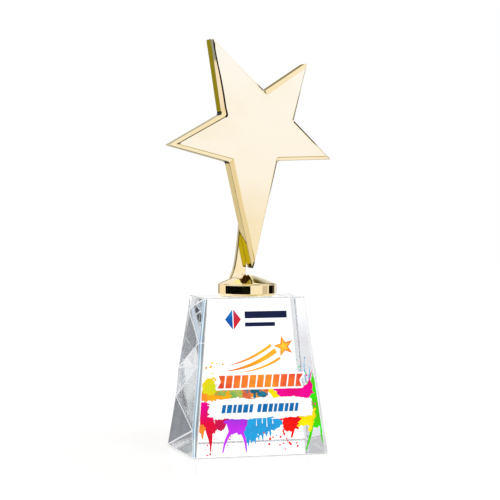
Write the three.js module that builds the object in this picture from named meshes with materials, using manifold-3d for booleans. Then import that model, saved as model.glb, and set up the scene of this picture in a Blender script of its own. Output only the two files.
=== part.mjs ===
// Star trophy: a mirror-gold cast star carried by a blade stem on a turned round
// foot, bonded to the top of a tapered, clear crystal block with a printed front.
//
// Frame: millimetres, +Z up, origin at the centre of the crystal's bottom face.
// The printed front of the trophy faces -Y, its right-hand side is +X.

import * as THREE from 'three';
import { ConvexGeometry } from 'three/addons/geometries/ConvexGeometry.js';
import { mergeVertices, mergeGeometries } from 'three/addons/utils/BufferGeometryUtils.js';
import Module from 'manifold-3d';

const wasm = await Module();
wasm.setup();

// ---------------------------------------------------------------- dimensions

// crystal block
const BLOCK_H = 107;            // height of the crystal
const BLOCK_W0 = 96;            // width at the bottom
const BLOCK_W1 = 72;            // width at the top
const BLOCK_D0 = 74;            // depth at the bottom
const BLOCK_D1 = 43;            // depth at the top
const ARRIS = 2.4;              // flat cut along the two front upright edges
const ARRIS_BACK = 0.8;         // flat cut along the two back upright edges
const EDGE_BREAK = 0.6;         // polished edge break round the top and bottom

// round foot (disc)
const BOND_T = 0.22;            // clear adhesive film under the foot
const BOND_GAP = 0.04;
const FOOT_Z0 = BLOCK_H + BOND_T + 2 * BOND_GAP;
const FOOT_R = 20.4;            // outer radius of the foot
const FOOT_WALL_TOP = 115.2;    // top of the upright wall
const FOOT_TOP = 122.0;         // crown of the domed top
const FOOT_RECESS_R = 16.2;     // underside recess for the screw head
const FOOT_RECESS_D = 2.6;

// stem
const STEM_T = 5.0;             // blade thickness
const STEM_Y0 = 6.62;           // front face of the blade
const STEM_X = -3.9;            // centre of the blade where it enters the foot
const POCKET_Z = 112.0;         // floor of the stem's pocket in the foot
const FIT = 0.3;                // clearance between stem and foot

// star
const STAR_FRONT = -10.5;       // plane of the flat front face
const STAR_CHINE = -5.2;        // where the bevel meets the side wall
const STAR_BACK = 6.5;          // rear edge of the side wall
const STAR_WALL = 2.3;          // casting wall
const STAR_LAND = 1.1;          // rim outside the back plate
const STAR_BEVEL = 2.3;         // bevel width in the face plane
const PLATE_T = 1.5;            // back plate
const CORNER_R = 2.0;           // fillet at the re-entrant corners

// outline of the star, tip, re-entrant corner, tip ... clockwise from the top
const STAR_OUTLINE = [
  { p: [-25.6, 284.6], tip: true,  nose: 0.9, face: 2.2 },
  { p: [11.4, 248.6] },
  { p: [42.0, 267.0],  tip: true,  nose: 1.3, face: 4.6 },
  { p: [32.2, 228.5] },
  { p: [59.3, 201.5],  tip: true,  nose: 0.6, face: 5.2 },
  { p: [20.5, 200.5] },
  { p: [2.6, 126.4],   tip: true,  nose: 0.9, face: 5.4 },
  { p: [-14.4, 199.7] },
  { p: [-57.0, 211.2], tip: true,  nose: 0.6, face: 4.6 },
  { p: [-18.5, 232.5] },
];

// fasteners
const STAR_SCREW_X = 2.6;
const STAR_SCREW_Z = [166, 184];
const BOSS_R = 3.4;

// printed front
const INK_T = 0.14;
const INK_GAP = 0.25;

// ------------------------------------------------------------------ helpers

function bare(geometry) {
  const g = geometry.clone();
  for (const name of Object.keys(g.attributes)) if (name !== 'position') g.deleteAttribute(name);
  return mergeVertices(g, 1e-4);
}

function solid(geometry) {
  const g = bare(geometry);
  return new wasm.Manifold(new wasm.Mesh({
    numProp: 3,
    vertProperties: new Float32Array(g.attributes.position.array),
    triVerts: new Uint32Array(g.index.array),
  }));
}

function toGeometry(manifold) {
  const m = manifold.getMesh();
  const g = new THREE.BufferGeometry();
  const pos = new Float32Array(m.vertProperties.length / m.numProp * 3);
  for (let i = 0; i < pos.length / 3; i++) {
    for (let k = 0; k < 3; k++) pos[3 * i + k] = m.vertProperties[m.numProp * i + k];
  }
  g.setAttribute('position', new THREE.BufferAttribute(pos, 3));
  g.setIndex(new THREE.BufferAttribute(new Uint32Array(m.triVerts), 1));
  g.computeVertexNormals();
  return g;
}

const hull = (points) => new ConvexGeometry(points.map((p) => new THREE.Vector3(...p)));

// a turned solid about +Z from (radius, height) pairs that start and end on the axis,
// or that close on themselves
function turned(profile, segments) {
  const g = new THREE.LatheGeometry(profile.map(([r, z]) => new THREE.Vector2(r, z)), segments);
  g.rotateX(Math.PI / 2);
  return g;
}

// a flat outline in X,Z drawn out along Y from y0 to y1
function plateXZ(points, y0, y1, holes = []) {
  const s = new THREE.Shape(points.map(([x, z]) => new THREE.Vector2(x, z)));
  for (const h of holes) s.holes.push(new THREE.Path(h.map(([x, z]) => new THREE.Vector2(x, z))));
  const g = new THREE.ExtrudeGeometry(s, { depth: y1 - y0, bevelEnabled: false, steps: 1 });
  g.rotateX(Math.PI / 2);       // shape y -> +Z, extrusion -> -Y
  g.translate(0, y1, 0);
  return g;
}

function cylinderY(r, y0, y1, x, z, segments = 28) {
  const g = new THREE.CylinderGeometry(r, r, y1 - y0, segments);
  g.translate(x, (y0 + y1) / 2, z);
  return g;
}

function cylinderZ(r, z0, z1, x, y, segments = 28) {
  const g = new THREE.CylinderGeometry(r, r, z1 - z0, segments);
  g.rotateX(Math.PI / 2);
  g.translate(x, y, (z0 + z1) / 2);
  return g;
}

function boxAt(x0, x1, y0, y1, z0, z1) {
  const g = new THREE.BoxGeometry(x1 - x0, y1 - y0, z1 - z0);
  g.translate((x0 + x1) / 2, (y0 + y1) / 2, (z0 + z1) / 2);
  return g;
}

const material = (color, roughness, metalness, extra = {}) =>
  new THREE.MeshStandardMaterial({ color, roughness, metalness, ...extra });

const GOLD = () => material(0xe8c477, 0.06, 1.0);
const STEEL = () => material(0x9fa2a6, 0.32, 1.0);
const CRYSTAL = () => material(0xf4f8fb, 0.02, 0.0, { transparent: true, opacity: 0.35 });
const INK = (color) => material(color, 0.38, 0.0);

const trophy = new THREE.Group();
function add(name, geometry, mat, parent = trophy) {
  const mesh = new THREE.Mesh(geometry, mat);
  mesh.name = name;
  parent.add(mesh);
  return mesh;
}

// ------------------------------------------------------------ crystal block

// Half width and half depth at height z.
const halfW = (z) => (BLOCK_W0 + (BLOCK_W1 - BLOCK_W0) * z / BLOCK_H) / 2;
const halfD = (z) => (BLOCK_D0 + (BLOCK_D1 - BLOCK_D0) * z / BLOCK_H) / 2;

// The body is a straight tapered block with cut upright edges.
{
  const ring = (z, inset) => {
    const w = halfW(z) - inset, d = halfD(z) - inset;
    const a = ARRIS, b = ARRIS_BACK;
    return [
      [-w + a, -d, z], [w - a, -d, z], [w, -d + a, z], [w, d - b, z],
      [w - b, d, z], [-w + b, d, z], [-w, d - b, z], [-w, -d + a, z],
    ];
  };
  const levels = [[0, EDGE_BREAK], [EDGE_BREAK, 0], [BLOCK_H - EDGE_BREAK, 0], [BLOCK_H, EDGE_BREAK]];
  let block = solid(hull(levels.flatMap(([z, i]) => ring(z, i))));

  // The left side is dressed with large shallow triangular facets, the right side
  // is plain. Three of their corners lie along the front arris (C, X, F) and four
  // on the back edge (B, D, E, G). C and F stand proud, B, X and E are ground in,
  // so neighbouring facets tilt against each other by a few degrees.
  const zTop = BLOCK_H - EDGE_BREAK, zBot = EDGE_BREAK;
  for (const side of [-1]) {
    const front = (z, out) => [side * (halfW(z) + out), -halfD(z) + ARRIS, z];
    const back = (z, out) => [side * (halfW(z) + out), halfD(z) - ARRIS_BACK, z];
    const inward = (p, by) => [p[0] - side * by, p[1], p[2]];
    const C = front(76.9, 0.9), X = front(61.5, 0), F = front(18.3, 0.9);
    const B = back(96.8, 0), D = back(55.8, 0), E = back(35.2, 0);
    const TF = front(zTop, 0), TB = back(zTop, 0), H = front(zBot, 0), G = back(zBot, 0);
    // raised facet groups round C and round F
    const raise = (pts) => solid(hull([...pts, ...pts.map((p) => inward(p, 3))]));
    block = block.add(raise([C, TF, TB, D, X]));
    block = block.add(raise([F, X, E, G, H]));
    // ground-in facets: shallow wedges taken off round B and round E
    const grind = (apexes, rim) => solid(hull([...apexes, ...rim,
      ...rim.map((p) => [p[0] + side * 4, p[1], p[2]]), ...apexes.map((p) => [p[0] + side * 4, p[1], p[2]])]));
    const past = (p) => [p[0], p[1] + 2, p[2]];
    const Bi = inward(B, 1.0), Ei = inward(E, 1.0);
    block = block.subtract(grind([Bi, past(Bi)], [TB, past(TB), D, past(D), C].map((p) => inward(p, -0.02))));
    block = block.subtract(grind([Ei, past(Ei)], [D, past(D), G, past(G), X, F].map((p) => inward(p, -0.02))));
  }
  add('crystal_block', toGeometry(block), CRYSTAL());
}

// ---------------------------------------------------------------- bond film

add('foot_bond_film',
  turned([[FOOT_RECESS_R + 0.5, BLOCK_H + BOND_GAP], [FOOT_R - 2.0, BLOCK_H + BOND_GAP],
    [FOOT_R - 2.0, BLOCK_H + BOND_GAP + BOND_T], [FOOT_RECESS_R + 0.5, BLOCK_H + BOND_GAP + BOND_T],
    [FOOT_RECESS_R + 0.5, BLOCK_H + BOND_GAP]], 56),
  material(0xf2f2ee, 0.2, 0.0));

// --------------------------------------------------------------- round foot

const DOME = [
  [FOOT_R - 0.55, FOOT_WALL_TOP + 0.35], [19.2, FOOT_WALL_TOP + 0.95], [16.6, FOOT_WALL_TOP + 2.05],
  [13.6, FOOT_WALL_TOP + 3.15], [11.0, FOOT_WALL_TOP + 4.1], [8.2, FOOT_WALL_TOP + 5.0],
  [5.5, FOOT_WALL_TOP + 5.85], [3.0, FOOT_TOP - 0.3], [1.4, FOOT_TOP - 0.06], [0, FOOT_TOP],
];
const pocketCx = STEM_X, pocketHalfW = 4.9, tenonHalfW = pocketHalfW - FIT;
const stemY1 = STEM_Y0 + STEM_T, stemYc = STEM_Y0 + STEM_T / 2;
{
  const profile = [
    [0, FOOT_Z0 + FOOT_RECESS_D], [FOOT_RECESS_R, FOOT_Z0 + FOOT_RECESS_D], [FOOT_RECESS_R, FOOT_Z0],
    [FOOT_R - 1.7, FOOT_Z0], [FOOT_R - 0.9, FOOT_Z0 + 0.25], [FOOT_R - 0.25, FOOT_Z0 + 0.9],
    [FOOT_R, FOOT_Z0 + 1.9], [FOOT_R, FOOT_WALL_TOP - 0.1], ...DOME,
  ];
  let foot = solid(turned(profile, 72));
  foot = foot.subtract(solid(boxAt(pocketCx - pocketHalfW, pocketCx + pocketHalfW,
    STEM_Y0 - FIT, stemY1 + FIT, POCKET_Z, FOOT_TOP + 5)));
  foot = foot.subtract(solid(cylinderZ(1.75, FOOT_Z0, POCKET_Z + 1, pocketCx, stemYc, 24)));
  add('foot_disc', toGeometry(foot), GOLD());
}

// -------------------------------------------------------------------- stem

// The blade leans gently to the right as it rises, tapers from its foot and runs
// up behind the star's long lower ray. Its foot flares over the dome, and a
// tenon goes down into the pocket.
{
  const left = [
    [-12.9, 117.0], [-11.0, 118.0], [-9.7, 119.8], [-8.6, 122.1], [-7.5, 125.0], [-6.7, 128.2], [-6.0, 132.0],
    [-5.2, 137.5], [-4.5, 143.5], [-3.9, 150.0], [-3.2, 158.0], [-2.5, 167.0], [-2.0, 177.0], [-1.8, 188.0],
  ];
  const right = [
    [7.2, 188.0], [7.2, 177.0], [6.9, 167.0], [6.2, 158.0], [5.4, 150.0], [4.5, 143.5], [3.4, 137.5],
    [2.4, 132.0], [1.6, 128.2], [1.1, 125.0], [0.8, 122.6], [1.0, 120.9], [1.9, 119.6], [3.4, 118.6],
  ];
  const top = [];
  for (let i = 1; i < 10; i++) {
    const a = Math.PI - i * Math.PI / 10;
    top.push([2.7 + 4.5 * Math.cos(a), 188.0 + 4.5 * Math.sin(a)]);
  }
  const outline = [[STEM_X - 9.0, 112.3], ...left, ...top, ...right, [STEM_X + 7.3, 112.3]];
  let stem = solid(plateXZ(outline, STEM_Y0, stemY1));
  // everything below the dome is removed, apart from the tenon
  const cut = turned([[0, 105], [30, 105], [30, FOOT_WALL_TOP + 0.2], ...DOME.map(([r, z]) => [r, z + FIT])], 72);
  let below = solid(cut);
  below = below.subtract(solid(boxAt(pocketCx - tenonHalfW, pocketCx + tenonHalfW,
    STEM_Y0 - 1, stemY1 + 1, POCKET_Z + FIT, FOOT_TOP + 6)));
  stem = stem.subtract(below);
  // tapped hole for the foot screw, clearance holes for the star's screws
  stem = stem.subtract(solid(cylinderZ(1.55, POCKET_Z - 1, 122.5, pocketCx, stemYc, 20)));
  for (const z of STAR_SCREW_Z) {
    stem = stem.subtract(solid(cylinderY(1.75, STEM_Y0 - 1, stemY1 + 1, STAR_SCREW_X, z, 24)));
    const cone = new THREE.CylinderGeometry(3.25, 1.75, 1.5, 32);
    cone.translate(STAR_SCREW_X, stemY1 - 0.75 + 0.001, z);
    stem = stem.subtract(solid(cone));
  }
  add('stem_blade', toGeometry(stem), GOLD());
}

// ------------------------------------------------- foot screw and its washer

const hexSocket = (r, z0, z1) => {
  const g = new THREE.CylinderGeometry(r, r, z1 - z0, 6);
  g.rotateX(Math.PI / 2);
  g.translate(0, 0, (z0 + z1) / 2);
  return g;
};
const webZ = FOOT_Z0 + FOOT_RECESS_D;       // ceiling of the recess under the foot
{
  // turned along +Z with the head at the bottom
  const head = turned([[0, webZ - 0.55 - 1.75], [2.3, webZ - 0.55 - 1.75], [2.75, webZ - 0.55 - 1.35],
    [2.75, webZ - 0.6], [1.45, webZ - 0.6], [1.45, 120.6], [1.05, 121.2], [0, 121.2]], 28);
  let screw = solid(head);
  screw = screw.subtract(solid(hexSocket(1.2, webZ - 3, webZ - 0.55 - 0.8)));
  const g = toGeometry(screw);
  g.translate(pocketCx, stemYc, 0);
  add('foot_screw', g, STEEL());

  const w = turned([[1.65, webZ - 0.52], [3.4, webZ - 0.52], [3.4, webZ - 0.04], [1.65, webZ - 0.04], [1.65, webZ - 0.52]], 32);
  w.translate(pocketCx, stemYc, 0);
  add('foot_washer', w, STEEL());
}

// --------------------------------------------------------------------- star

const v2 = (p) => new THREE.Vector2(p[0], p[1]);

// Line offset to the inside: the outline runs clockwise seen from the front.
function insetPolygon(points, by) {
  const n = points.length, out = [];
  for (let i = 0; i < n; i++) {
    const a = v2(points[(i + n - 1) % n]), b = v2(points[i]), c = v2(points[(i + 1) % n]);
    const e1 = b.clone().sub(a).normalize(), e2 = c.clone().sub(b).normalize();
    const n1 = new THREE.Vector2(e1.y, -e1.x), n2 = new THREE.Vector2(e2.y, -e2.x);
    const k = 1 + n1.dot(n2);
    out.push([b.x + by * (n1.x + n2.x) / k, b.y + by * (n1.y + n2.y) / k]);
  }
  return out;
}

// Tips are blunted and re-entrant corners rounded, always with the same number
// of points, so that loops at different depths can be joined.
function dress(points, flags, nose, radius) {
  const n = points.length, out = [];
  for (let i = 0; i < n; i++) {
    const a = v2(points[(i + n - 1) % n]), b = v2(points[i]), c = v2(points[(i + 1) % n]);
    const u = a.clone().sub(b).normalize(), w = c.clone().sub(b).normalize();
    const half = Math.acos(THREE.MathUtils.clamp(u.dot(w), -1, 1)) / 2;
    if (flags[i].tip) {
      const t = nose(flags[i]) / 2 / Math.sin(half);
      out.push([b.x + u.x * t, b.y + u.y * t]);
      const m = u.clone().add(w).multiplyScalar(0.5 * t * 0.62);
      out.push([b.x + m.x, b.y + m.y]);
      out.push([b.x + w.x * t, b.y + w.y * t]);
    } else {
      const t = radius / Math.tan(half);
      const d = u.clone().add(w).normalize();
      const centre = b.clone().add(d.multiplyScalar(radius / Math.sin(half)));
      const p0 = b.clone().add(u.clone().multiplyScalar(t)), p1 = b.clone().add(w.clone().multiplyScalar(t));
      const a0 = Math.atan2(p0.y - centre.y, p0.x - centre.x);
      let a1 = Math.atan2(p1.y - centre.y, p1.x - centre.x);
      while (a1 - a0 > Math.PI) a1 -= 2 * Math.PI;
      while (a1 - a0 < -Math.PI) a1 += 2 * Math.PI;
      for (let k = 0; k <= 4; k++) {
        const s = a0 + (a1 - a0) * k / 4;
        out.push([centre.x + radius * Math.cos(s), centre.y + radius * Math.sin(s)]);
      }
    }
  }
  return out;
}

// A closed body through loops of equal length at rising Y, capped at both ends.
function loft(loops, ys) {
  const n = loops[0].length, pos = [], idx = [];
  loops.forEach((loop, k) => loop.forEach(([x, z]) => pos.push(x, ys[k], z)));
  for (let k = 0; k + 1 < loops.length; k++) {
    for (let i = 0; i < n; i++) {
      const j = (i + 1) % n, a = k * n + i, b = k * n + j, c = a + n, d = b + n;
      idx.push(a, c, b, b, c, d);
    }
  }
  for (const [k, along] of [[0, true], [loops.length - 1, false]]) {
    const ring = loops[k].map(v2), sense = Math.sign(THREE.ShapeUtils.area(ring));
    for (const t of THREE.ShapeUtils.triangulateShape(ring.map((q) => q.clone()), [])) {
      const same = Math.sign(THREE.ShapeUtils.area(t.map((q) => ring[q]))) === sense;
      const [a, b, c] = t.map((q) => k * n + q);
      if (same === along) idx.push(a, b, c); else idx.push(a, c, b);
    }
  }
  const g = new THREE.BufferGeometry();
  g.setAttribute('position', new THREE.BufferAttribute(new Float32Array(pos), 3));
  g.setIndex(idx);
  // orientation is settled by the sign of the enclosed volume
  let vol = 0;
  for (let i = 0; i < idx.length; i += 3) {
    const [p, q, r] = [0, 1, 2].map((s) => new THREE.Vector3().fromArray(pos, 3 * idx[i + s]));
    vol += p.dot(q.cross(r)) / 6;
  }
  if (vol < 0) {
    for (let i = 0; i < idx.length; i += 3) [idx[i + 1], idx[i + 2]] = [idx[i + 2], idx[i + 1]];
    g.setIndex(idx);
  }
  return g;
}

const starPoints = STAR_OUTLINE.map((q) => q.p);
const outer = dress(starPoints, STAR_OUTLINE, (q) => q.nose, CORNER_R);
{
  // front face: the corners step in by the bevel, the tips by their own amount
  const stepped = insetPolygon(starPoints, STAR_BEVEL);
  const facePoints = starPoints.map((p, i) => {
    if (!STAR_OUTLINE[i].tip) return stepped[i];
    const d = v2(stepped[i]).sub(v2(p)).normalize().multiplyScalar(STAR_OUTLINE[i].face);
    return [p[0] + d.x, p[1] + d.y];
  });
  const face = dress(facePoints, STAR_OUTLINE, (q) => 0.35 * q.nose, CORNER_R * 0.8);
  const body = loft([face, outer, outer], [STAR_FRONT, STAR_CHINE, STAR_BACK]);

  // hollow behind, with a rebate for the back plate
  const cavityPts = insetPolygon(starPoints, STAR_WALL);
  const cavityIn = insetPolygon(starPoints, STAR_WALL + STAR_BEVEL * 0.9);
  const cavity = loft([
    dress(cavityIn, STAR_OUTLINE, () => 0.8, 1.0),
    dress(cavityPts, STAR_OUTLINE, () => 0.8, 1.0),
    dress(cavityPts, STAR_OUTLINE, () => 0.8, 1.0),
  ], [STAR_FRONT + STAR_WALL, STAR_CHINE + 0.6, STAR_BACK + 1]);
  const rebatePts = insetPolygon(starPoints, STAR_LAND);
  const rebate = loft([
    dress(rebatePts, STAR_OUTLINE, () => 0.8, 1.4), dress(rebatePts, STAR_OUTLINE, () => 0.8, 1.4),
  ], [STAR_BACK - PLATE_T - 0.12, STAR_BACK + 1]);

  let shell = solid(body).subtract(solid(cavity)).subtract(solid(rebate));
  for (const z of STAR_SCREW_Z) {
    shell = shell.add(solid(cylinderY(BOSS_R, STAR_FRONT + STAR_WALL - 0.8, STAR_BACK - PLATE_T - 0.12, STAR_SCREW_X, z, 28)));
    shell = shell.subtract(solid(cylinderY(1.55, STAR_BACK - PLATE_T - 9.0, STAR_BACK, STAR_SCREW_X, z, 20)));
  }
  add('star_casting', toGeometry(shell), GOLD());

  // back plate, set flush in the rebate
  const platePts = insetPolygon(starPoints, STAR_LAND + FIT * 0.7);
  const platePlan = dress(platePts, STAR_OUTLINE, () => 0.8, 1.4);
  let plate = solid(loft([platePlan, platePlan], [STAR_BACK - PLATE_T, STAR_BACK]));
  for (const z of STAR_SCREW_Z) {
    plate = plate.subtract(solid(cylinderY(1.75, STAR_BACK - 3, STAR_BACK + 1, STAR_SCREW_X, z, 24)));
  }
  add('star_back_plate', toGeometry(plate), GOLD());
}

// Two countersunk screws through the stem and the back plate into the bosses.
STAR_SCREW_Z.forEach((z, i) => {
  const yHead = stemY1 - 0.02, tip = STAR_BACK - PLATE_T - 7.6;
  const L = yHead - tip;
  let s = solid(turned([[0, 0], [1.0, 0], [1.4, 0.5], [1.4, L - 1.62], [3.02, L - 0.12], [3.02, L], [0, L]], 28));
  s = s.subtract(solid(hexSocket(1.15, L - 1.1, L + 1)));
  const g = toGeometry(s);
  g.rotateX(-Math.PI / 2);      // +Z -> +Y
  g.translate(STAR_SCREW_X, tip, z);
  add(i === 0 ? 'star_screw_lower' : 'star_screw_upper', g, STEEL());
});

// ------------------------------------------------------------ printed front

// The printed films lie on the sloping front face. Their own frame has x to the
// right, y up the slope from the bottom edge, z out of the glass.
const slope = Math.atan2((BLOCK_D0 - BLOCK_D1) / 2, BLOCK_H);
const front = new THREE.Group();
front.rotation.x = Math.PI / 2 - slope;
front.position.set(0, -BLOCK_D0 / 2 - INK_GAP * Math.cos(slope), INK_GAP * Math.sin(slope));
trophy.add(front);

function film(name, points, color, holes = []) {
  const slab = (outline, z0, z1) => {
    const g = new THREE.ExtrudeGeometry(new THREE.Shape(outline.map(v2)), { depth: z1 - z0, bevelEnabled: false });
    g.translate(0, 0, z0);
    return solid(g);
  };
  let s = slab(points, 0, INK_T);
  for (const h of holes) s = s.subtract(slab(h, -1, INK_T + 1));
  add(name, toGeometry(s), INK(color), front);
}
const shrink = (points, by) => {
  const c = points.reduce((s, p) => [s[0] + p[0] / points.length, s[1] + p[1] / points.length], [0, 0]);
  const ex = Math.max(...points.map((p) => Math.abs(p[0] - c[0]))), ey = Math.max(...points.map((p) => Math.abs(p[1] - c[1])));
  return points.map(([x, y]) => [c[0] + (x - c[0]) * (1 - by / ex), c[1] + (y - c[1]) * (1 - by / ey)]);
};

const LABEL = [
  [-37.6, 27.0], [-36.8, 38.6], [-30, 40.2], [-15, 40.9], [0, 40.4], [15, 41.0], [30, 40.2], [37.2, 39.0],
  [37.8, 33.0], [37.4, 26.4], [30, 25.2], [15, 24.6], [0, 25.3], [-15, 24.7], [-30, 25.4],
];
const RULE = [
  [-26.0, 31.8], [-25.2, 30.6], [25.2, 30.6], [26.0, 31.8], [26.0, 34.8], [25.2, 36.0], [-25.2, 36.0], [-26.0, 34.8],
];
film('print_splash', [
  [-39.4, 47.0], [-38.2, 51.6], [-34, 52.6], [-32, 49.0], [-29.5, 46.6], [-24, 45.8], [-18, 46.2], [-12, 45.4], [-5, 46.0],
  [2, 45.3], [9, 46.0], [15, 45.2], [21, 46.0], [27, 45.4], [32, 46.2], [35.0, 49.0], [37.6, 52.2], [39.0, 50.0],
  [40.2, 40.0], [41.3, 30.0], [42.3, 21.0], [42.9, 14.0], [43.6, 8.0], [42.9, 6.9], [42.0, 8.4], [41.4, 14.0],
  [40.0, 18.2], [37.4, 19.2], [35.2, 15.0], [33.4, 8.0], [32.4, 4.2], [31.4, 4.6], [31.6, 9.0], [32.6, 15.0], [32.0, 18.6],
  [29.0, 17.4], [25.0, 18.6], [21.0, 16.6], [18.8, 12.0], [17.4, 12.4], [17.6, 16.6], [13.5, 18.2], [9.0, 16.2],
  [4.0, 17.2], [-2.0, 15.6], [-6.5, 17.0], [-9.6, 13.0], [-10.8, 6.5], [-11.9, 3.2], [-12.9, 3.6], [-12.6, 9.0],
  [-13.0, 14.6], [-17.0, 16.4], [-21.0, 15.0], [-24.4, 13.4], [-26.4, 6.5], [-27.4, 2.2], [-28.6, 2.4], [-28.4, 8.0],
  [-28.8, 14.6], [-31.5, 17.2], [-33.6, 14.0], [-34.9, 7.0], [-35.6, 2.6], [-36.9, 2.4], [-37.0, 8.0], [-37.6, 13.4],
  [-40.0, 15.6], [-42.0, 20.0], [-41.4, 28.0], [-40.7, 36.0], [-40.0, 42.0],
], 0xe2267a, [LABEL]);
film('print_label', shrink(LABEL, 0.35), 0xfdfdfb, [RULE]);
film('print_label_rule', shrink(RULE, 0.3), 0x1070b0);
film('print_word_bar', [
  [-30.0, 47.6], [-27.6, 51.9], [-30.0, 56.2], [0, 56.8], [31.0, 56.2], [28.8, 51.9], [31.0, 47.6], [0, 47.0],
], 0xe2531f);
film('print_swoosh', [
  [-23.0, 58.6], [-14, 61.0], [-4, 64.6], [5, 69.0], [11.8, 73.2], [13.6, 70.4], [7.6, 65.6], [-1, 61.0], [-12, 58.3],
], 0xf08a1c);
{
  const pts = [];
  for (let i = 0; i < 10; i++) {
    const r = i % 2 ? 3.1 : 7.6, a = Math.PI / 2 + 0.25 - i * Math.PI / 5;
    pts.push([18.6 + r * Math.cos(a), 74.4 + r * Math.sin(a)]);
  }
  film('print_swoosh_star', pts, 0xf6a21e);
}
film('print_emblem_left', [[-22.4, 93.4], [-17.0, 100.4], [-17.0, 86.4]], 0x1c5fae);
film('print_emblem_right', [[-16.4, 100.4], [-11.0, 93.4], [-16.4, 86.4]], 0xd0303c);
film('print_caption_upper', [[-8.4, 94.0], [-8.4, 98.8], [21.6, 98.8], [21.6, 94.0]], 0x1b2145);
film('print_caption_lower', [[-8.4, 88.4], [-8.4, 91.2], [13.0, 91.2], [13.0, 88.4]], 0x1b2145);

export default trophy;
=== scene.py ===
# Star trophy: mirror-gold cast star on a blade stem and a round foot, bonded to a
# tapered clear crystal block with a printed front.  Metres, +Z up, front faces -Y.
import bpy, bmesh, math
import numpy as np
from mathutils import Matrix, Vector


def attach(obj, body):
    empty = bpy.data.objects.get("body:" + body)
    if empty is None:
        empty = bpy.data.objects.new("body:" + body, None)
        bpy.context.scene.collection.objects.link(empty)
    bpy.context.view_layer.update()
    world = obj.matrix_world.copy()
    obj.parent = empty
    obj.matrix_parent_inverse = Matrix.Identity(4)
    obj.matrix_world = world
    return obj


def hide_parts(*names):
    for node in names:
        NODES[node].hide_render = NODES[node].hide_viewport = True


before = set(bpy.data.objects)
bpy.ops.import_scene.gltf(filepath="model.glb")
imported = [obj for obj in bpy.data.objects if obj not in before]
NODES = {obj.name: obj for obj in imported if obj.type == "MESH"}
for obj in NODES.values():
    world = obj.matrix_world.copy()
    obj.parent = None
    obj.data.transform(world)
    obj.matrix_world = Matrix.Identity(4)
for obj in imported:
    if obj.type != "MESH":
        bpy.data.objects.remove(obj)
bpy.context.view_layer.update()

MM = 0.001
scene = bpy.context.scene
scene.view_settings.view_transform = "Standard"
scene.view_settings.look = "None"
scene.view_settings.exposure = 0.0
scene.view_settings.gamma = 1.0
scene.cycles.max_bounces = 24
scene.cycles.transmission_bounces = 20
scene.cycles.glossy_bounces = 12
scene.cycles.transparent_max_bounces = 16
scene.cycles.caustics_reflective = True
scene.cycles.caustics_refractive = True
scene.cycles.blur_glossy = 0.0
scene.cycles.sample_clamp_indirect = 6.0

# ------------------------------------------------------------------ camera
AZ, EL = -16.0, 2.31                      # viewing angle, degrees
LENS, DIST, AIM_X, AIM_Z = 145.44, 1.400, 0.0021, 0.13872
cam = bpy.data.objects.new("camera", bpy.data.cameras.new("camera"))
scene.collection.objects.link(cam)
a, e = math.radians(AZ), math.radians(EL)
look = Vector((-math.sin(a) * math.cos(e), math.cos(a) * math.cos(e), -math.sin(e)))
right = Vector((math.cos(a), math.sin(a), 0))
cam.location = right * AIM_X + Vector((0, 0, AIM_Z)) - look * DIST
cam.rotation_mode = "QUATERNION"
cam.rotation_quaternion = look.to_track_quat("-Z", "Y")
cam.data.lens, cam.data.sensor_width = LENS, 36.0
cam.data.clip_start, cam.data.clip_end = 0.02, 40
scene.camera = cam


# ------------------------------------------------------------- node helpers
class Net:
    """A small helper for node trees: numbers and sockets can be mixed freely."""

    def __init__(self, tree):
        self.t = tree
        tree.nodes.clear()

    def new(self, kind, **props):
        n = self.t.nodes.new(kind)
        for k, v in props.items():
            setattr(n, k, v)
        return n

    def put(self, socket, value):
        if isinstance(value, bpy.types.NodeSocket):
            self.t.links.new(value, socket)
        else:
            socket.default_value = value

    def math(self, op, *args, clamp=False):
        n = self.new("ShaderNodeMath", operation=op, use_clamp=clamp)
        for s, v in zip(n.inputs, args):
            self.put(s, v)
        return n.outputs[0]

    def step(self, x, a, b, lo=0.0, hi=1.0):
        """Smooth step from lo at a to hi at b."""
        n = self.new("ShaderNodeMapRange", interpolation_type="SMOOTHSTEP")
        self.put(n.inputs[0], x)
        for s, v in zip(n.inputs[1:5], (a, b, lo, hi)):
            self.put(s, v)
        return n.outputs[0]

    def linear(self, x, a, b, lo=0.0, hi=1.0):
        n = self.new("ShaderNodeMapRange")
        self.put(n.inputs[0], x)
        for s, v in zip(n.inputs[1:5], (a, b, lo, hi)):
            self.put(s, v)
        return n.outputs[0]

    def window(self, x, a, b, soft):
        up = self.step(x, a - soft, a + soft)
        down = self.step(x, b - soft, b + soft, 1.0, 0.0)
        return self.math("MULTIPLY", up, down)

    def mix(self, fac, a, b):
        n = self.new("ShaderNodeMix", data_type="RGBA")
        self.put(n.inputs[0], fac)
        for s, v in ((n.inputs[6], a), (n.inputs[7], b)):
            if isinstance(v, (tuple, list)) and len(v) == 3:
                v = (*v, 1.0)
            self.put(s, v)
        return n.outputs[2]

    def ramp(self, fac, stops):
        n = self.new("ShaderNodeValToRGB")
        self.put(n.inputs[0], fac)
        cr = n.color_ramp
        while len(cr.elements) > 1:
            cr.elements.remove(cr.elements[-1])
        for i, (pos, col) in enumerate(stops):
            el = cr.elements[0] if i == 0 else cr.elements.new(pos)
            el.position = pos
            el.color = (*col, 1.0)
        return n.outputs[0]

    def noise(self, vec, scale, detail=3.0, rough=0.5):
        n = self.new("ShaderNodeTexNoise")
        if vec is not None:
            self.put(n.inputs["Vector"], vec)
        n.inputs["Scale"].default_value = scale
        n.inputs["Detail"].default_value = detail
        n.inputs["Roughness"].default_value = rough
        return n.outputs[0]


def material(name):
    m = bpy.data.materials.new(name)
    m.use_nodes = True
    return m, Net(m.node_tree)


def lin(r, g, b):
    """sRGB 0..255 to linear."""
    f = lambda c: (c / 255 / 12.92) if c / 255 <= 0.04045 else ((c / 255 + 0.055) / 1.055) ** 2.4
    return (f(r), f(g), f(b))


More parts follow.
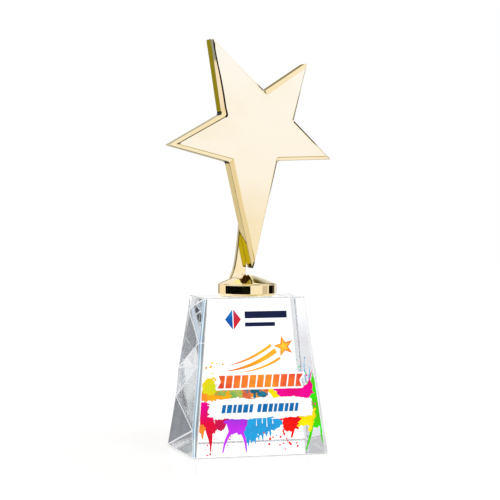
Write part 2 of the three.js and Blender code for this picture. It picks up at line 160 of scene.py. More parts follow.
# ----------------------------------------------------------------- world
GOLD = (0.965, 0.800, 0.500)


def over_gold(r, g, b):
    """The surround colour that mirror gold turns into this sRGB colour."""
    return tuple(max(0.0, c / k) for c, k in zip(lin(r, g, b), GOLD))


world = bpy.data.worlds.new("studio")
scene.world = world
world.use_nodes = True
W = Net(world.node_tree)
tc = W.new("ShaderNodeTexCoord").outputs["Generated"]
sep = W.new("ShaderNodeSeparateXYZ")
W.put(sep.inputs[0], tc)
DEG = 180 / math.pi
w_az = W.math("MULTIPLY", W.math("ARCTAN2", sep.outputs[0], W.math("MULTIPLY", sep.outputs[1], -1.0)), DEG)
w_el = W.math("MULTIPLY", W.math("ARCSINE", sep.outputs[2]), DEG)
studio = (1.0, 1.0, 1.0)


def patch(col, az, el, colour, soft_az=1.5, soft_el=1.5):
    m = W.math("MULTIPLY", W.window(w_az, az[0], az[1], soft_az), W.window(w_el, el[0], el[1], soft_el))
    return W.mix(m, col, colour)


# softbox in front, to the right: brighter towards its top
box = W.ramp(W.linear(w_el, -4.0, 5.0), [
    (0.00, over_gold(251, 231, 186)), (0.14, over_gold(251, 232, 188)), (0.28, over_gold(249, 232, 196)),
    (0.345, over_gold(252, 238, 211)), (0.41, over_gold(254, 243, 223)), (0.66, over_gold(255, 246, 230)),
    (0.87, over_gold(255, 250, 240)), (1.00, over_gold(255, 250, 241)),
])
studio = patch(studio, (2, 46), (-30, 62), box, 1.5, 6)
# left: warm reflector, darker below
left = W.ramp(W.linear(w_el, -22.0, 6.0), [
    (0.0, over_gold(222, 196, 130)), (0.20, over_gold(232, 206, 148)), (0.38, over_gold(240, 216, 168)), (0.56, over_gold(250, 227, 190)),
    (0.70, over_gold(250, 222, 163)), (1.0, over_gold(252, 236, 190)),
])
studio = patch(studio, (-158, -103), (-40, 30), left, 2, 6)
# right of the softbox: grey flat, then a narrow dark flag
studio = patch(studio, (47, 72), (-9, 8), over_gold(211, 188, 147), 1.2, 2)
studio = patch(studio, (104, 121), (-9, 8), over_gold(80, 69, 48), 1.5, 2)
studio = patch(studio, (79, 105), (-9, 6), (0.006, 0.003, 0.001), 1.5, 2)
# seen only by light that has met two mirrors, the star's tip in the foot's dome: the floor's sheen stays clean
lp = W.new("ShaderNodeLightPath")
twice = W.step(lp.outputs["Glossy Depth"], 1.4, 1.6)
studio = W.mix(twice, studio, patch(studio, (-44, -23), (5, 42), over_gold(50, 34, 6), 2, 2))
studio = W.mix(twice, studio, patch(studio, (-150, -100), (30, 46), over_gold(160, 152, 52), 3, 2))
studio = patch(studio, (-70, 130), (-84, -14), over_gold(222, 197, 124), 5, 4)
studio = patch(studio, (-60, 120), (-84, -46), over_gold(128, 104, 40), 5, 6)
# narrow flags behind, seen only in the side walls and far bevels of the star
studio = patch(studio, (0, 50), (37, 66), over_gold(66, 50, 8), 2, 2)
studio = patch(studio, (164, 178), (12.7, 17.5), over_gold(150, 128, 76), 1.5, 0.4)
studio = patch(studio, (164, 178), (8.0, 12.4), over_gold(190, 172, 124), 1.5, 0.4)
studio = patch(studio, (162, 172), (-11, -4.5), over_gold(186, 165, 118), 1.5, 0.8)
studio = patch(studio, (142, 155), (-9.5, 2.2), over_gold(96, 84, 60), 1.2, 0.8)
studio = patch(studio, (141, 153), (11.8, 14.7), over_gold(58, 44, 20), 1.0, 0.25)
# the dome of the foot looks up and back
studio = patch(studio, (139, 158), (17.5, 45.4), W.mix(W.linear(w_el, 28.5, 39.5), over_gold(210, 198, 160), over_gold(86, 69, 15)), 2.0, 1.0)
studio = patch(studio, (136, 147.5), (14.6, 38), over_gold(92, 82, 46), 2.0, 1.0)
studio = patch(studio, (158, 176), (36, 50), over_gold(255, 236, 146), 3, 3)
studio = patch(studio, (150, 178), (1.6, 6.5), (0.84, 0.84, 0.84), 2.0, 0.5)
# a soft grey behind, seen in the polish of the left facets
studio = patch(studio, (-174, -152), (-9.0, 9.0), (0.34, 0.37, 0.41), 2.0, 2.0)

# what the crystal bends into view: white, with a few grey zones that pick out its facets
bent = (1.22, 1.22, 1.22)
bent = patch(bent, (-10, 20), (-20, -8), (0.74, 0.79, 0.74), 4, 3)
bent = patch(bent, (118, 134), (-23, -11), (0.42, 0.52, 0.60), 2, 2)
bent = patch(bent, (10, 36), (27.8, 35), (0.62, 0.72, 0.86), 3, 1.2)
bent = patch(bent, (8, 38), (20.0, 27.6), (0.22, 0.23, 0.25), 3, 1.0)
dark_top = W.step(w_el, 50.9, 52.4)
bent = W.mix(dark_top, bent, (0.27, 0.28, 0.29))
bent = patch(bent, (-145, -55), (-60, 60), (0.84, 0.85, 0.86), 4, 6)
bent = patch(bent, (62, 114), (-40, 40), (0.84, 0.85, 0.86), 3, 6)
bent = patch(bent, (-50, 50), (-6, 18), (0.86, 0.87, 0.88), 4, 2)
bent = patch(bent, (-70, -52), (-49, -35), (3.4, 3.5, 3.5), 3, 3)
bent = patch(bent, (-178, -146), (-31, -17), (0.79, 0.79, 0.79), 2, 1.0)
# the right-hand strip: a pale card whose edge leans with the side of the block
edge = W.math("SUBTRACT", sep.outputs[0], W.math("ADD", 0.27809, W.math("MULTIPLY", sep.outputs[2], -0.07106)))
lean = W.math("MULTIPLY", W.step(edge, -0.0005, 0.0005), W.window(w_az, 152, 170, 1.0))
bent = W.mix(W.math("MULTIPLY", lean, W.window(w_el, -28, -1, 1.0)), bent, (0.75, 0.75, 0.74))
bent = W.mix(W.math("MULTIPLY", W.math("MULTIPLY", W.step(sep.outputs[0], 0.2984, 0.2992), W.window(w_az, 152, 170, 1.0)), W.window(w_el, 3, 20, 1.0)), bent, (0.60, 0.60, 0.58))
bent = patch(bent, (-180, -146), (2, 20), (0.52, 0.52, 0.51), 2, 1.0)
bent = W.mix(W.step(w_el, -66.0, -70.0), bent, (0.70, 0.70, 0.70))

surround = W.mix(lp.outputs["Is Glossy Ray"], (1.0, 1.0, 1.0), studio)
surround = W.mix(lp.outputs["Is Transmission Ray"], surround, bent)
bg = W.new("ShaderNodeBackground")
W.put(bg.inputs[0], surround)
bg.inputs[1].default_value = 1.0
wo = W.new("ShaderNodeOutputWorld")
W.put(wo.inputs[0], bg.outputs[0])
world.cycles.sampling_method = "NONE"

key = bpy.data.objects.new("softbox", bpy.data.lights.new("softbox", "AREA"))
scene.collection.objects.link(key)
key.data.shape, key.data.size, key.data.size_y, key.data.energy = "RECTANGLE", 1.2, 0.8, 3.0
key.location = (0.35, -1.1, 1.15)
key.rotation_euler = (Vector((0, 0, 0.12)) - Vector(key.location)).to_track_quat("-Z", "Y").to_euler()
key.visible_glossy = False
key.visible_transmission = False


# ----------------------------------------------------------------- stage
def mesh_object(name, verts, faces, mats=(), mat_index=None, smooth=None):
    me = bpy.data.meshes.new(name)
    me.from_pydata([(x * MM, y * MM, z * MM) for x, y, z in verts], [], faces)
    for m in mats:
        me.materials.append(m)
    if mat_index is not None:
        me.polygons.foreach_set("material_index", mat_index)
    if smooth is not None:
        me.polygons.foreach_set("use_smooth", smooth)
    me.update()
    o = bpy.data.objects.new(name, me)
    scene.collection.objects.link(o)
    return o


def make_floor():
    """A plain white sweep with a faint, slightly blurred sheen."""
    m, n = material("floor_white")
    obj = n.new("ShaderNodeTexCoord").outputs["Object"]
    d = n.new("ShaderNodeBsdfDiffuse")
    d.inputs[0].default_value = (0.97, 0.97, 0.97, 1)
    g = n.new("ShaderNodeBsdfGlossy")
    g.inputs["Color"].default_value = (1, 1, 1, 1)
    n.put(g.inputs["Roughness"], n.math("ADD", 0.11, n.math("MULTIPLY", n.noise(obj, 14.0), 0.04)))
    ln = n.new("ShaderNodeVectorMath", operation="LENGTH")
    n.put(ln.inputs[0], obj)
    mx = n.new("ShaderNodeMixShader")
    n.put(mx.inputs[0], n.step(ln.outputs["Value"], 0.10, 0.26, 0.24, 0.0))
    n.put(mx.inputs[1], d.outputs[0])
    n.put(mx.inputs[2], g.outputs[0])
    em = n.new("ShaderNodeEmission")
    em.inputs[1].default_value = 0.06
    ad = n.new("ShaderNodeAddShader")
    n.put(ad.inputs[0], mx.outputs[0])
    n.put(ad.inputs[1], em.outputs[0])
    o = n.new("ShaderNodeOutputMaterial")
    n.put(o.inputs[0], ad.outputs[0])
    R, N = 2600, 96
    vs = [(0, 0, -0.3)] + [(R * math.cos(i * 2 * math.pi / N), R * math.sin(i * 2 * math.pi / N), -0.3) for i in range(N)]
    fs = [(0, 1 + i, 1 + (i + 1) % N) for i in range(N)]
    f = mesh_object("floor", vs, fs, [m])
    f.visible_glossy = False
    f.visible_transmission = False


make_floor()


def card(name, R, az0, az1, z0, z1, colour, glow):
    """A curved studio card that only mirrors see."""
    m, n = material(name)
    d = n.new("ShaderNodeBsdfDiffuse")
    d.inputs[0].default_value = (0.004, 0.004, 0.004, 1)
    em = n.new("ShaderNodeEmission")
    em.inputs[0].default_value = (*colour, 1)
    em.inputs[1].default_value = glow
    ad = n.new("ShaderNodeAddShader")
    n.put(ad.inputs[0], d.outputs[0])
    n.put(ad.inputs[1], em.outputs[0])
    through = n.new("ShaderNodeMixShader")
    n.put(through.inputs[0], n.new("ShaderNodeLightPath").outputs["Is Transmission Ray"])
    n.put(through.inputs[1], ad.outputs[0])
    n.put(through.inputs[2], n.new("ShaderNodeBsdfTransparent").outputs[0])
    o = n.new("ShaderNodeOutputMaterial")
    n.put(o.inputs[0], through.outputs[0])
    N = 24
    vs, fs = [], []
    for i in range(N + 1):
        t = math.radians(az0 + i * (az1 - az0) / N)
        vs += [(R * math.sin(t), -R * math.cos(t), z0), (R * math.sin(t), -R * math.cos(t), z1)]
    for i in range(N):
        fs.append((2 * i, 2 * i + 2, 2 * i + 3, 2 * i + 1))
    f = mesh_object(name, vs, fs, [m])
    f.visible_camera = f.visible_diffuse = f.visible_transmission = f.visible_shadow = f.visible_volume_scatter = False


card("flag_black", 78, -98, -4, 99, 114.2, (0, 0, 0), 0.0)
card("flag_mustard", 150, -32, -4, 97, 141, (0.56, 0.56, 0.02), 1.0)
card("flag_olive", 150, -160.5, -152, 222, 286, over_gold(140, 125, 20), 1.0)
card("flag_tan", 152, -167.5, -159.5, 98, 184, over_gold(214, 190, 130), 1.0)


# --------------------------------------------------------------- materials
def gold(name, base=GOLD, deep=None, rough=0.035, grain=(1, 1, 1), wave=0.00002, streak=0.3):
    """Mirror gold plate: faint tarnish clouds, wiping haze and hairlines in the gloss, a soft polish ripple."""
    m, n = material(name)
    obj = n.new("ShaderNodeTexCoord").outputs["Object"]
    mp = n.new("ShaderNodeMapping")
    n.put(mp.inputs[0], obj)
    mp.inputs["Scale"].default_value = grain
    deep = deep or tuple(c * k for c, k in zip(base, (0.975, 0.955, 0.90)))
    cloud = n.noise(obj, 34.0, 4.0, 0.55)
    col = n.mix(n.step(cloud, 0.42, 0.72), base, deep)
    hair = n.noise(mp.outputs[0], 420.0, 2.0, 0.7)
    haze = n.noise(obj, 70.0, 5.0, 0.6)
    r = n.math("ADD", rough, n.math("MULTIPLY", n.step(haze, 0.5, 0.78), 0.035))
    r = n.math("ADD", r, n.math("MULTIPLY", n.step(hair, 0.66, 0.8), 0.03 * streak / 0.3))
    b = n.new("ShaderNodeBump")
    b.inputs["Strength"].default_value = 0.25
    b.inputs["Distance"].default_value = wave
    h = n.math("ADD", n.noise(obj, 46.0, 1.0, 0.4), n.math("MULTIPLY", hair, 0.02))
    n.put(b.inputs["Height"], h)
    p = n.new("ShaderNodeBsdfPrincipled")
    n.put(p.inputs["Base Color"], col)
    p.inputs["Metallic"].default_value = 1.0
    n.put(p.inputs["Roughness"], r)
    n.put(p.inputs["Normal"], b.outputs[0])
    o = n.new("ShaderNodeOutputMaterial")
    n.put(o.inputs[0], p.outputs[0])
    return m


def steel(name):
    m, n = material(name)
    obj = n.new("ShaderNodeTexCoord").outputs["Object"]
    p = n.new("ShaderNodeBsdfPrincipled")
    n.put(p.inputs["Base Color"], n.mix(n.noise(obj, 300.0), (0.60, 0.61, 0.62), (0.46, 0.46, 0.46)))
    p.inputs["Metallic"].default_value = 1.0
    n.put(p.inputs["Roughness"], n.math("ADD", 0.2, n.math("MULTIPLY", n.noise(obj, 900.0), 0.25)))
    b = n.new("ShaderNodeBump")
    b.inputs["Strength"].default_value = 0.3
    b.inputs["Distance"].default_value = 0.00003
    n.put(b.inputs["Height"], n.noise(obj, 1400.0))
    n.put(p.inputs["Normal"], b.outputs[0])
    o = n.new("ShaderNodeOutputMaterial")
    n.put(o.inputs[0], p.outputs[0])
    return m


def crystal(name):
    """Optical crystal: clear, with the faintest wiping haze on its polish."""
    m, n = material(name)
    obj = n.new("ShaderNodeTexCoord").outputs["Object"]
    p = n.new("ShaderNodeBsdfPrincipled")
    n.put(p.inputs["Base Color"], n.mix(n.noise(obj, 18.0, 3.0), (0.998, 1.0, 1.0), (0.990, 0.995, 1.0)))
    p.inputs["Transmission Weight"].default_value = 1.0
    p.inputs["IOR"].default_value = 1.52
    haze = n.step(n.noise(obj, 60.0, 5.0, 0.65), 0.56, 0.8)
    n.put(p.inputs["Roughness"], n.math("MULTIPLY", haze, 0.012))
    b = n.new("ShaderNodeBump")
    b.inputs["Strength"].default_value = 0.1
    b.inputs["Distance"].default_value = 0.000004
    n.put(b.inputs["Height"], n.noise(obj, 55.0, 1.0))
    n.put(p.inputs["Normal"], b.outputs[0])
    o = n.new("ShaderNodeOutputMaterial")
    n.put(o.inputs[0], p.outputs[0])
    return m


def bond(name):
    m, n = material(name)
    obj = n.new("ShaderNodeTexCoord").outputs["Object"]
    p = n.new("ShaderNodeBsdfPrincipled")
    n.put(p.inputs["Base Color"], n.mix(n.noise(obj, 120.0), (0.74, 0.84, 0.92), (0.62, 0.72, 0.80)))
    n.put(p.inputs["Roughness"], n.math("ADD", 0.25, n.math("MULTIPLY", n.noise(obj, 260.0), 0.2)))
    p.inputs["Transmission Weight"].default_value = 0.12
    p.inputs["IOR"].default_value = 1.49
    o = n.new("ShaderNodeOutputMaterial")
    n.put(o.inputs[0], p.outputs[0])
    return m


def ink(name, a, b, scale=90.0, gloss=0.32):
    """Printed ink: two close tones mottled together, a fine halftone tooth, half gloss."""
    m, n = material(name)
    obj = n.new("ShaderNodeTexCoord").outputs["Object"]
    mott = n.noise(obj, scale, 5.0, 0.6)
    col = n.mix(n.step(mott, 0.36, 0.66), a, b)
    p = n.new("ShaderNodeBsdfPrincipled")
    n.put(p.inputs["Base Color"], col)
    n.put(p.inputs["Roughness"], n.math("ADD", gloss, n.math("MULTIPLY", n.noise(obj, 700.0), 0.18)))
    p.inputs["Specular IOR Level"].default_value = 0.06
    bp = n.new("ShaderNodeBump")
    bp.inputs["Strength"].default_value = 0.15
    bp.inputs["Distance"].default_value = 0.00002
    n.put(bp.inputs["Height"], n.noise(obj, 2600.0, 1.0))
    n.put(p.inputs["Normal"], bp.outputs[0])
    o = n.new("ShaderNodeOutputMaterial")
    n.put(o.inputs[0], p.outputs[0])
    return m


RIGHT_FACETS = 0.0


def arris(name):
    """The narrow polished lines where facets meet: partly clear, with a soft white frost that is a painted highlight.
    """
    m, n = material(name)
    obj = n.new("ShaderNodeTexCoord").outputs["Object"]
    p = n.new("ShaderNodeBsdfPrincipled")
    n.put(p.inputs["Base Color"], n.mix(n.noise(obj, 200.0), (1.0, 1.0, 1.0), (0.95, 0.97, 1.0)))
    n.put(p.inputs["Roughness"], n.math("ADD", 0.18, n.math("MULTIPLY", n.noise(obj, 500.0), 0.25)))
    p.inputs["Transmission Weight"].default_value = 0.30
    p.inputs["IOR"].default_value = 1.52
    o = n.new("ShaderNodeOutputMaterial")
    n.put(o.inputs[0], p.outputs[0])
    return m


def painted_refraction(name, colour, clear=0.35):
    """A strip of the polished front arris, painted with one bent colour of the surroundings: a painted reflection."""
    m, n = material(name)
    obj = n.new("ShaderNodeTexCoord").outputs["Object"]
    mp = n.new("ShaderNodeMapping")
    n.put(mp.inputs[0], obj)
    mp.inputs["Scale"].default_value = (1, 1, 0.12)
    c = lin(*colour)
    p = n.new("ShaderNodeBsdfPrincipled")
    n.put(p.inputs["Base Color"], n.mix(n.step(n.noise(mp.outputs[0], 260.0, 4.0), 0.35, 0.68), c, tuple(min(1.0, x * 1.35) for x in c)))
    n.put(p.inputs["Roughness"], n.math("ADD", 0.08, n.math("MULTIPLY", n.noise(obj, 400.0), 0.12)))
    p.inputs["Transmission Weight"].default_value = clear
    p.inputs["IOR"].default_value = 1.52
    b = n.new("ShaderNodeBump")
    b.inputs["Strength"].default_value = 0.1
    b.inputs["Distance"].default_value = 0.00001
    n.put(b.inputs["Height"], n.noise(obj, 300.0, 2.0))
    n.put(p.inputs["Normal"], b.outputs[0])
    o = n.new("ShaderNodeOutputMaterial")
    n.put(o.inputs[0], p.outputs[0])
    return m


# the white arris: a painted highlight along the crystal's edges
ARRIS_PAINTED_HIGHLIGHT = arris("crystal_arris_painted_highlight")
# blue, light, grey and pale strips and the grey edge: painted reflections of the surroundings seen through the glass
PAINTED_STRIPS = [painted_refraction("arris_painted_blue", (128, 156, 180)), painted_refraction("arris_painted_light", (206, 232, 250)), painted_refraction("arris_painted_grey", (122, 130, 136)), painted_refraction("arris_painted_pale", (196, 191, 184))]
EDGE_PAINTED_GREY = painted_refraction("crystal_edge_painted_grey", (132, 134, 138))


def shaded_facet(name, dark=(0.44, 0.44, 0.45), light=(0.66, 0.66, 0.67), soft=0.0):
    """A left facet: clear glass with the streaky tone of the room it mirrors painted into its colour, a painted
    reflection.
    """
    m, n = material(name)
    obj = n.new("ShaderNodeTexCoord").outputs["Object"]
    mp = n.new("ShaderNodeMapping")
    n.put(mp.inputs[0], obj)
    mp.inputs["Scale"].default_value = (0.5, 1, 0.10)
    p = n.new("ShaderNodeBsdfPrincipled")
    n.put(p.inputs["Base Color"], n.mix(n.step(n.noise(mp.outputs[0], 190.0, 3.0), 0.40, 0.62), dark, light))
    n.put(p.inputs["Roughness"], n.math("ADD", soft, n.math("MULTIPLY", n.noise(obj, 400.0), 0.03)))
    p.inputs["Transmission Weight"].default_value = 1.0
    p.inputs["IOR"].default_value = 1.52
    o = n.new("ShaderNodeOutputMaterial")
    n.put(o.inputs[0], p.outputs[0])
    return m


# grey and pale facet tones: painted reflections of the room
FACET_PAINTED_GREY = shaded_facet("crystal_facet_low_painted_reflection")
FACET_PAINTED_PALE = shaded_facet("crystal_facet_mid_painted_reflection", (0.90, 0.95, 0.98), (0.98, 0.99, 0.99), 0.09)
# pale strip on the right side's front edge: a painted reflection
SIDE_PAINTED_PALE = painted_refraction("crystal_side_edge_painted_pale", (222, 224, 224))
GOLD_STAR = gold("gold_star")


def painted_edge_reflection(name, a, b):
    """A painted reflection: the thin dark line mirror gold shows where it turns a tight edge, put in as a satin colour
    strip, streaked along its length.
    """
    m, n = material(name)
    obj = n.new("ShaderNodeTexCoord").outputs["Object"]
    p = n.new("ShaderNodeBsdfPrincipled")
    n.put(p.inputs["Base Color"], n.mix(n.step(n.noise(obj, 180.0, 3.0), 0.35, 0.65), a, b))
    n.put(p.inputs["Roughness"], n.math("ADD", 0.35, n.math("MULTIPLY", n.noise(obj, 600.0), 0.2)))
    p.inputs["Specular IOR Level"].default_value = 0.04
    bp = n.new("ShaderNodeBump")
    bp.inputs["Strength"].default_value = 0.2
    bp.inputs["Distance"].default_value = 0.00001
    n.put(bp.inputs["Height"], n.noise(obj, 900.0))
    n.put(p.inputs["Normal"], bp.outputs[0])
    o = n.new("ShaderNodeOutputMaterial")
    n.put(o.inputs[0], p.outputs[0])
    return m


# dark, brown and tan edge strips: painted reflections of dark surroundings on the edges of the star, foot and stem
GOLD_EDGE_PAINTED_DARK = painted_edge_reflection("gold_edge_painted_dark", (0.012, 0.009, 0.003), (0.022, 0.016, 0.005))
GOLD_LINE_PAINTED_BROWN = painted_edge_reflection("gold_edge_painted_brown", (0.10, 0.070, 0.022), (0.15, 0.11, 0.04))
GOLD_STREAK_PAINTED_TAN = painted_edge_reflection("gold_edge_painted_tan", (0.38, 0.28, 0.13), (0.46, 0.36, 0.18))
# the star's side walls: a slightly darker copy of the face's gold, painted shade
GOLD_WALL_PAINTED_SHADE = gold("gold_star_wall_painted_shade", base=(0.95, 0.78, 0.47))
GOLD_PLATE = gold("gold_plate", rough=0.05)
GOLD_STEM = gold("gold_stem")
GOLD_FOOT = gold("gold_foot")
STEEL = steel("steel_screw")
CRYSTAL = crystal("optical_crystal")
BOND = bond("bond_clear")


# ------------------------------------------------------------------- star
FRONT, CHINE, BACK = -10.5, -5.2, 6.5
BEVEL = 2.3
OUTLINE = [
    dict(p=(-27.5, 284.6), tip=1, nose=0.9, face=1.0), dict(p=(11.4, 248.6), tip=0),
    dict(p=(42.2, 268.8), tip=1, nose=1.3, face=4.6), dict(p=(32.2, 228.5), tip=0),
    dict(p=(59.3, 201.5), tip=1, nose=0.6, face=5.2), dict(p=(20.5, 200.5), tip=0),
    dict(p=(2.6, 124.6), tip=1, nose=0.9, face=6.2), dict(p=(-14.4, 199.7), tip=0),
    dict(p=(-57.0, 211.2), tip=1, nose=0.6, face=4.6), dict(p=(-19.6, 232.4), tip=0),
]
PTS = [Vector(q["p"]) for q in OUTLINE]
NP = len(PTS)
DENS = 12                                   # points along a straight edge
# where the T-left edge of the face bows in, in mm, against its distance from the corner
BOW = [(0.0, 0.0), (0.1, -0.45), (0.3, -0.30), (0.5, 0.05), (0.72, 0.05), (0.9, -0.25), (1.0, 0.0)]


def unit(v):
    return v / v.length


def inset(s):
    """Corner points of the outline at inset s; the tips step in by their own amount."""
    out = []
    for i in range(NP):
        a, b, c = PTS[i - 1], PTS[i], PTS[(i + 1) % NP]
        e1, e2 = unit(b - a), unit(c - b)
        n1, n2 = Vector((e1.y, -e1.x)), Vector((e2.y, -e2.x))
        d = (n1 + n2) / (1 + n1.dot(n2))    # per mm of inset
        if OUTLINE[i]["tip"]:
            full = d.length
            k = OUTLINE[i]["face"] / BEVEL
            step = min(s, BEVEL) * k + max(0, s - BEVEL) * full
            out.append(b + unit(d) * step)
        else:
            out.append(b + d * s)
    return out


def bow(t):
    for (t0, v0), (t1, v1) in zip(BOW, BOW[1:]):
        if t <= t1:
            x = (t - t0) / (t1 - t0)
            x = x * x * (3 - 2 * x)
            return v0 + (v1 - v0) * x
    return 0.0


def loop_at(s, nose_k=1.0, radius=None):
    """One closed loop at inset s: rounded noses, filleted inner corners, divided edges."""
    pts = inset(s)
    radius = (2.0 + 0.12 * s) if radius is None else radius
    corners = []
    for i in range(NP):
        a, b, c = pts[i - 1], pts[i], pts[(i + 1) % NP]
        u, w = unit(a - b), unit(c - b)
        half = math.acos(max(-1, min(1, u.dot(w)))) / 2
        arc = []
        if OUTLINE[i]["tip"]:
            wid = OUTLINE[i]["nose"] * nose_k
            t = wid / 2 / math.sin(half)
            p0, p1 = b + u * t, b + w * t
            m = unit(u + w)
            mid = (p0 + p1) / 2
            bulge = wid * 0.34
            for k in range(7):
                x = k / 6
                q = p0.lerp(p1, x) - m * bulge * math.sin(math.pi * x)
                arc.append(q)
        else:
            t = radius / math.tan(half)
            d = unit(u + w)
            centre = b + d * (radius / math.sin(half))
            p0, p1 = b + u * t, b + w * t
            a0 = math.atan2(p0.y - centre.y, p0.x - centre.x)
            a1 = math.atan2(p1.y - centre.y, p1.x - centre.x)
            while a1 - a0 > math.pi: a1 -= 2 * math.pi
            while a1 - a0 < -math.pi: a1 += 2 * math.pi
            for k in range(9):
                q = a0 + (a1 - a0) * k / 8
                arc.append(centre + Vector((math.cos(q), math.sin(q))) * radius)
        corners.append(arc)
    out, tag = [], []
    for i in range(NP):
        out += corners[i]
        tag += [i] * len(corners[i])
        p, q = corners[i][-1], corners[(i + 1) % NP][0]
        L = (q - p).length
        ts = [min(0.02, 0.7 / L)] + [k / DENS for k in range(1, DENS)] + [1 - min(0.02, 0.7 / L)]
        for t in ts:
            v = p.lerp(q, t)
            if i == 9:                      # L-T corner up to the T tip
                e = unit(q - p)
                inward = Vector((e.y, -e.x))
                v = v + inward * bow(1 - t) * min(1.0, s / BEVEL)
            out.append(v)
            tag.append(100 + i)
    return out, tag


def star_profile():
    """(inset, y, band) from the face edge to the back rim; band names the strip that starts there."""
    prof = []
    f0, f1 = 0.42, 0.62                     # fillet reach into the face, down the bevel
    # face to bevel: quadratic blend between the two tangents
    P0, P1, P2 = (BEVEL + f0, FRONT), (BEVEL, FRONT), (BEVEL - f1 * 0.398, FRONT + f1 * 0.917)
    prof.append((BEVEL + f0 + 0.5, FRONT, "face_line"))
    for k in range(5):
        t = k / 4
        x = [(1 - t) ** 2 * p + 2 * t * (1 - t) * q + t * t * r for p, q, r in zip(P0, P1, P2)]
        prof.append((x[0], x[1], "edge" if k < 4 else "bevel"))
    prof.append((0.5, FRONT + (BEVEL - 0.5) * (CHINE - FRONT) / BEVEL, "bevel_low"))
    c0, c1 = 0.55, 0.55                     # bevel to wall
    P0, P1, P2 = (c0 * 0.398, CHINE - c0 * 0.917), (0, CHINE), (0, CHINE + c1)
    for k in range(4):
        t = k / 3
        x = [(1 - t) ** 2 * p + 2 * t * (1 - t) * q + t * t * r for p, q, r in zip(P0, P1, P2)]
        prof.append((x[0], x[1], "chine" if k < 3 else "wall"))
    for k in range(5):                      # wall to back rim
        q = math.radians(90 * k / 4)
        prof.append((0.35 * (1 - math.cos(q)), BACK - 0.35 + 0.35 * math.sin(q), "round" if k < 4 else "rim"))
    prof.append((1.05, BACK, "lip"))
    prof.append((1.15, BACK - 0.12, "rebate"))
    prof.append((1.15, BACK - 1.62, "end"))
    return prof


def build_star():
    prof = star_profile()
    loops, tags = [], None
    for s, y, band in prof:
        nk = max(0.3, 1 - 0.28 * min(s, BEVEL))
        lp_, tags = loop_at(s, nk)
        loops.append([(p.x, y, p.y) for p in lp_])
    n = len(loops[0])
    verts = [v for lp_ in loops for v in lp_]
    faces, mats, smooth = [], [], []

    def where(i):
        """('edge', k) along a straight run, ('corner', k, 0..1) round a tip or an inner corner."""
        if tags[i] >= 100:
            return "edge", tags[i] - 100, 0.0
        j = i
        while j > 0 and tags[j - 1] == tags[i]:
            j -= 1
        m = sum(1 for t in tags if t == tags[i])
        return "corner", tags[i], (i - j + 0.5) / m

    def slot_of(band, i):
        # 0 mirror, 1 near-black edge, 2 wall, 3 brown line, 4 tan streak: 1, 3 and 4 are painted reflections, 2 is a
        # darker gold of painted shade
        kind, k, x = where(i)
        if band in ("face_line",):
            return 1 if (kind == "edge" and k == 9) or (kind == "corner" and k in (8, 9)) else 0
        if band == "edge":
            if kind == "edge":
                return {9: 1, 8: 3}.get(k, 0)
            return {9: 1, 8: 1}.get(k, 3 if k == 0 and x < 0.5 else 0)
        if kind == "corner" and k == 6 and band in ("bevel", "bevel_low", "chine", "wall", "round"):
            return 1
        if band == "bevel_low":
            return {2: 3, 3: 1, 5: 3}.get(k, 0) if kind == "edge" else {3: 3, 5: 3}.get(k, 0)
        if kind == "corner" and k == 7 and band in ("chine", "wall", "round"):
            return 1
        if kind == "edge" and k == 6 and band in ("round",):
            return 3
        if band == "chine":
            if kind == "edge":
                return {7: 3, 6: 4, 4: 3, 3: 1, 2: 3, 5: 3}.get(k, 0)
            return {0: 1, 4: 3, 5: 3, 3: 3, 7: 1, 9: 1}.get(k, 0)
        if band in ("wall", "round"):
            if kind == "corner" and k == 9:
                return 1
            if kind == "corner" and k == 0:
                return 3
            return 2
        return 0

    for k in range(len(loops) - 1):
        band = prof[k][2]
        for i in range(n):
            j = (i + 1) % n
            faces.append((k * n + i, k * n + j, (k + 1) * n + j, (k + 1) * n + i))
            smooth.append(True)
            mats.append(slot_of(band, i))
    faces.append(tuple(range(n - 1, -1, -1)))           # front face
    smooth.append(False)
    mats.append(0)
    last = (len(loops) - 1) * n
    faces.append(tuple(last + i for i in range(n)))     # floor of the rebate
    smooth.append(False)
    mats.append(0)
    o = mesh_object("star", verts, faces, [GOLD_STAR, GOLD_EDGE_PAINTED_DARK, GOLD_WALL_PAINTED_SHADE, GOLD_LINE_PAINTED_BROWN, GOLD_STREAK_PAINTED_TAN], mats, smooth)
    bm = bmesh.new()
    bm.from_mesh(o.data)
    bmesh.ops.recalc_face_normals(bm, faces=bm.faces)
    sharp_after = {k for k in range(len(prof)) if prof[k][2] in ("bevel", "wall", "rim", "lip", "rebate", "end") or k in (0, 1, 7, 11)}
    for ed in bm.edges:
        a, b = ed.verts[0].index, ed.verts[1].index
        ka, kb = a // n, b // n
        if ka == kb and ka in sharp_after:
            ed.smooth = False
        elif ka != kb and len(ed.link_faces) == 2 and ed.calc_face_angle(0) > math.radians(24):
            ed.smooth = False
    bm.to_mesh(o.data)
    bm.free()
    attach(o, "root")
    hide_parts("star_casting")
    return o


build_star()


def bevelled(node, width, segments=2, angle=25):
    """A softened edge on a carried-over part, with its flats kept flat."""
    b = NODES[node].modifiers.new("edge", "BEVEL")
    b.width = width * MM
    b.segments = segments
    b.limit_method = "ANGLE"
    b.angle_limit = math.radians(angle)
    b.harden_normals = False
    return b


def give(node, mat):
    o = NODES[node]
    if not o.data.materials:
        o.data.materials.append(mat)
    for i in range(len(o.material_slots)):
        o.material_slots[i].link = "OBJECT"
        o.material_slots[i].material = mat


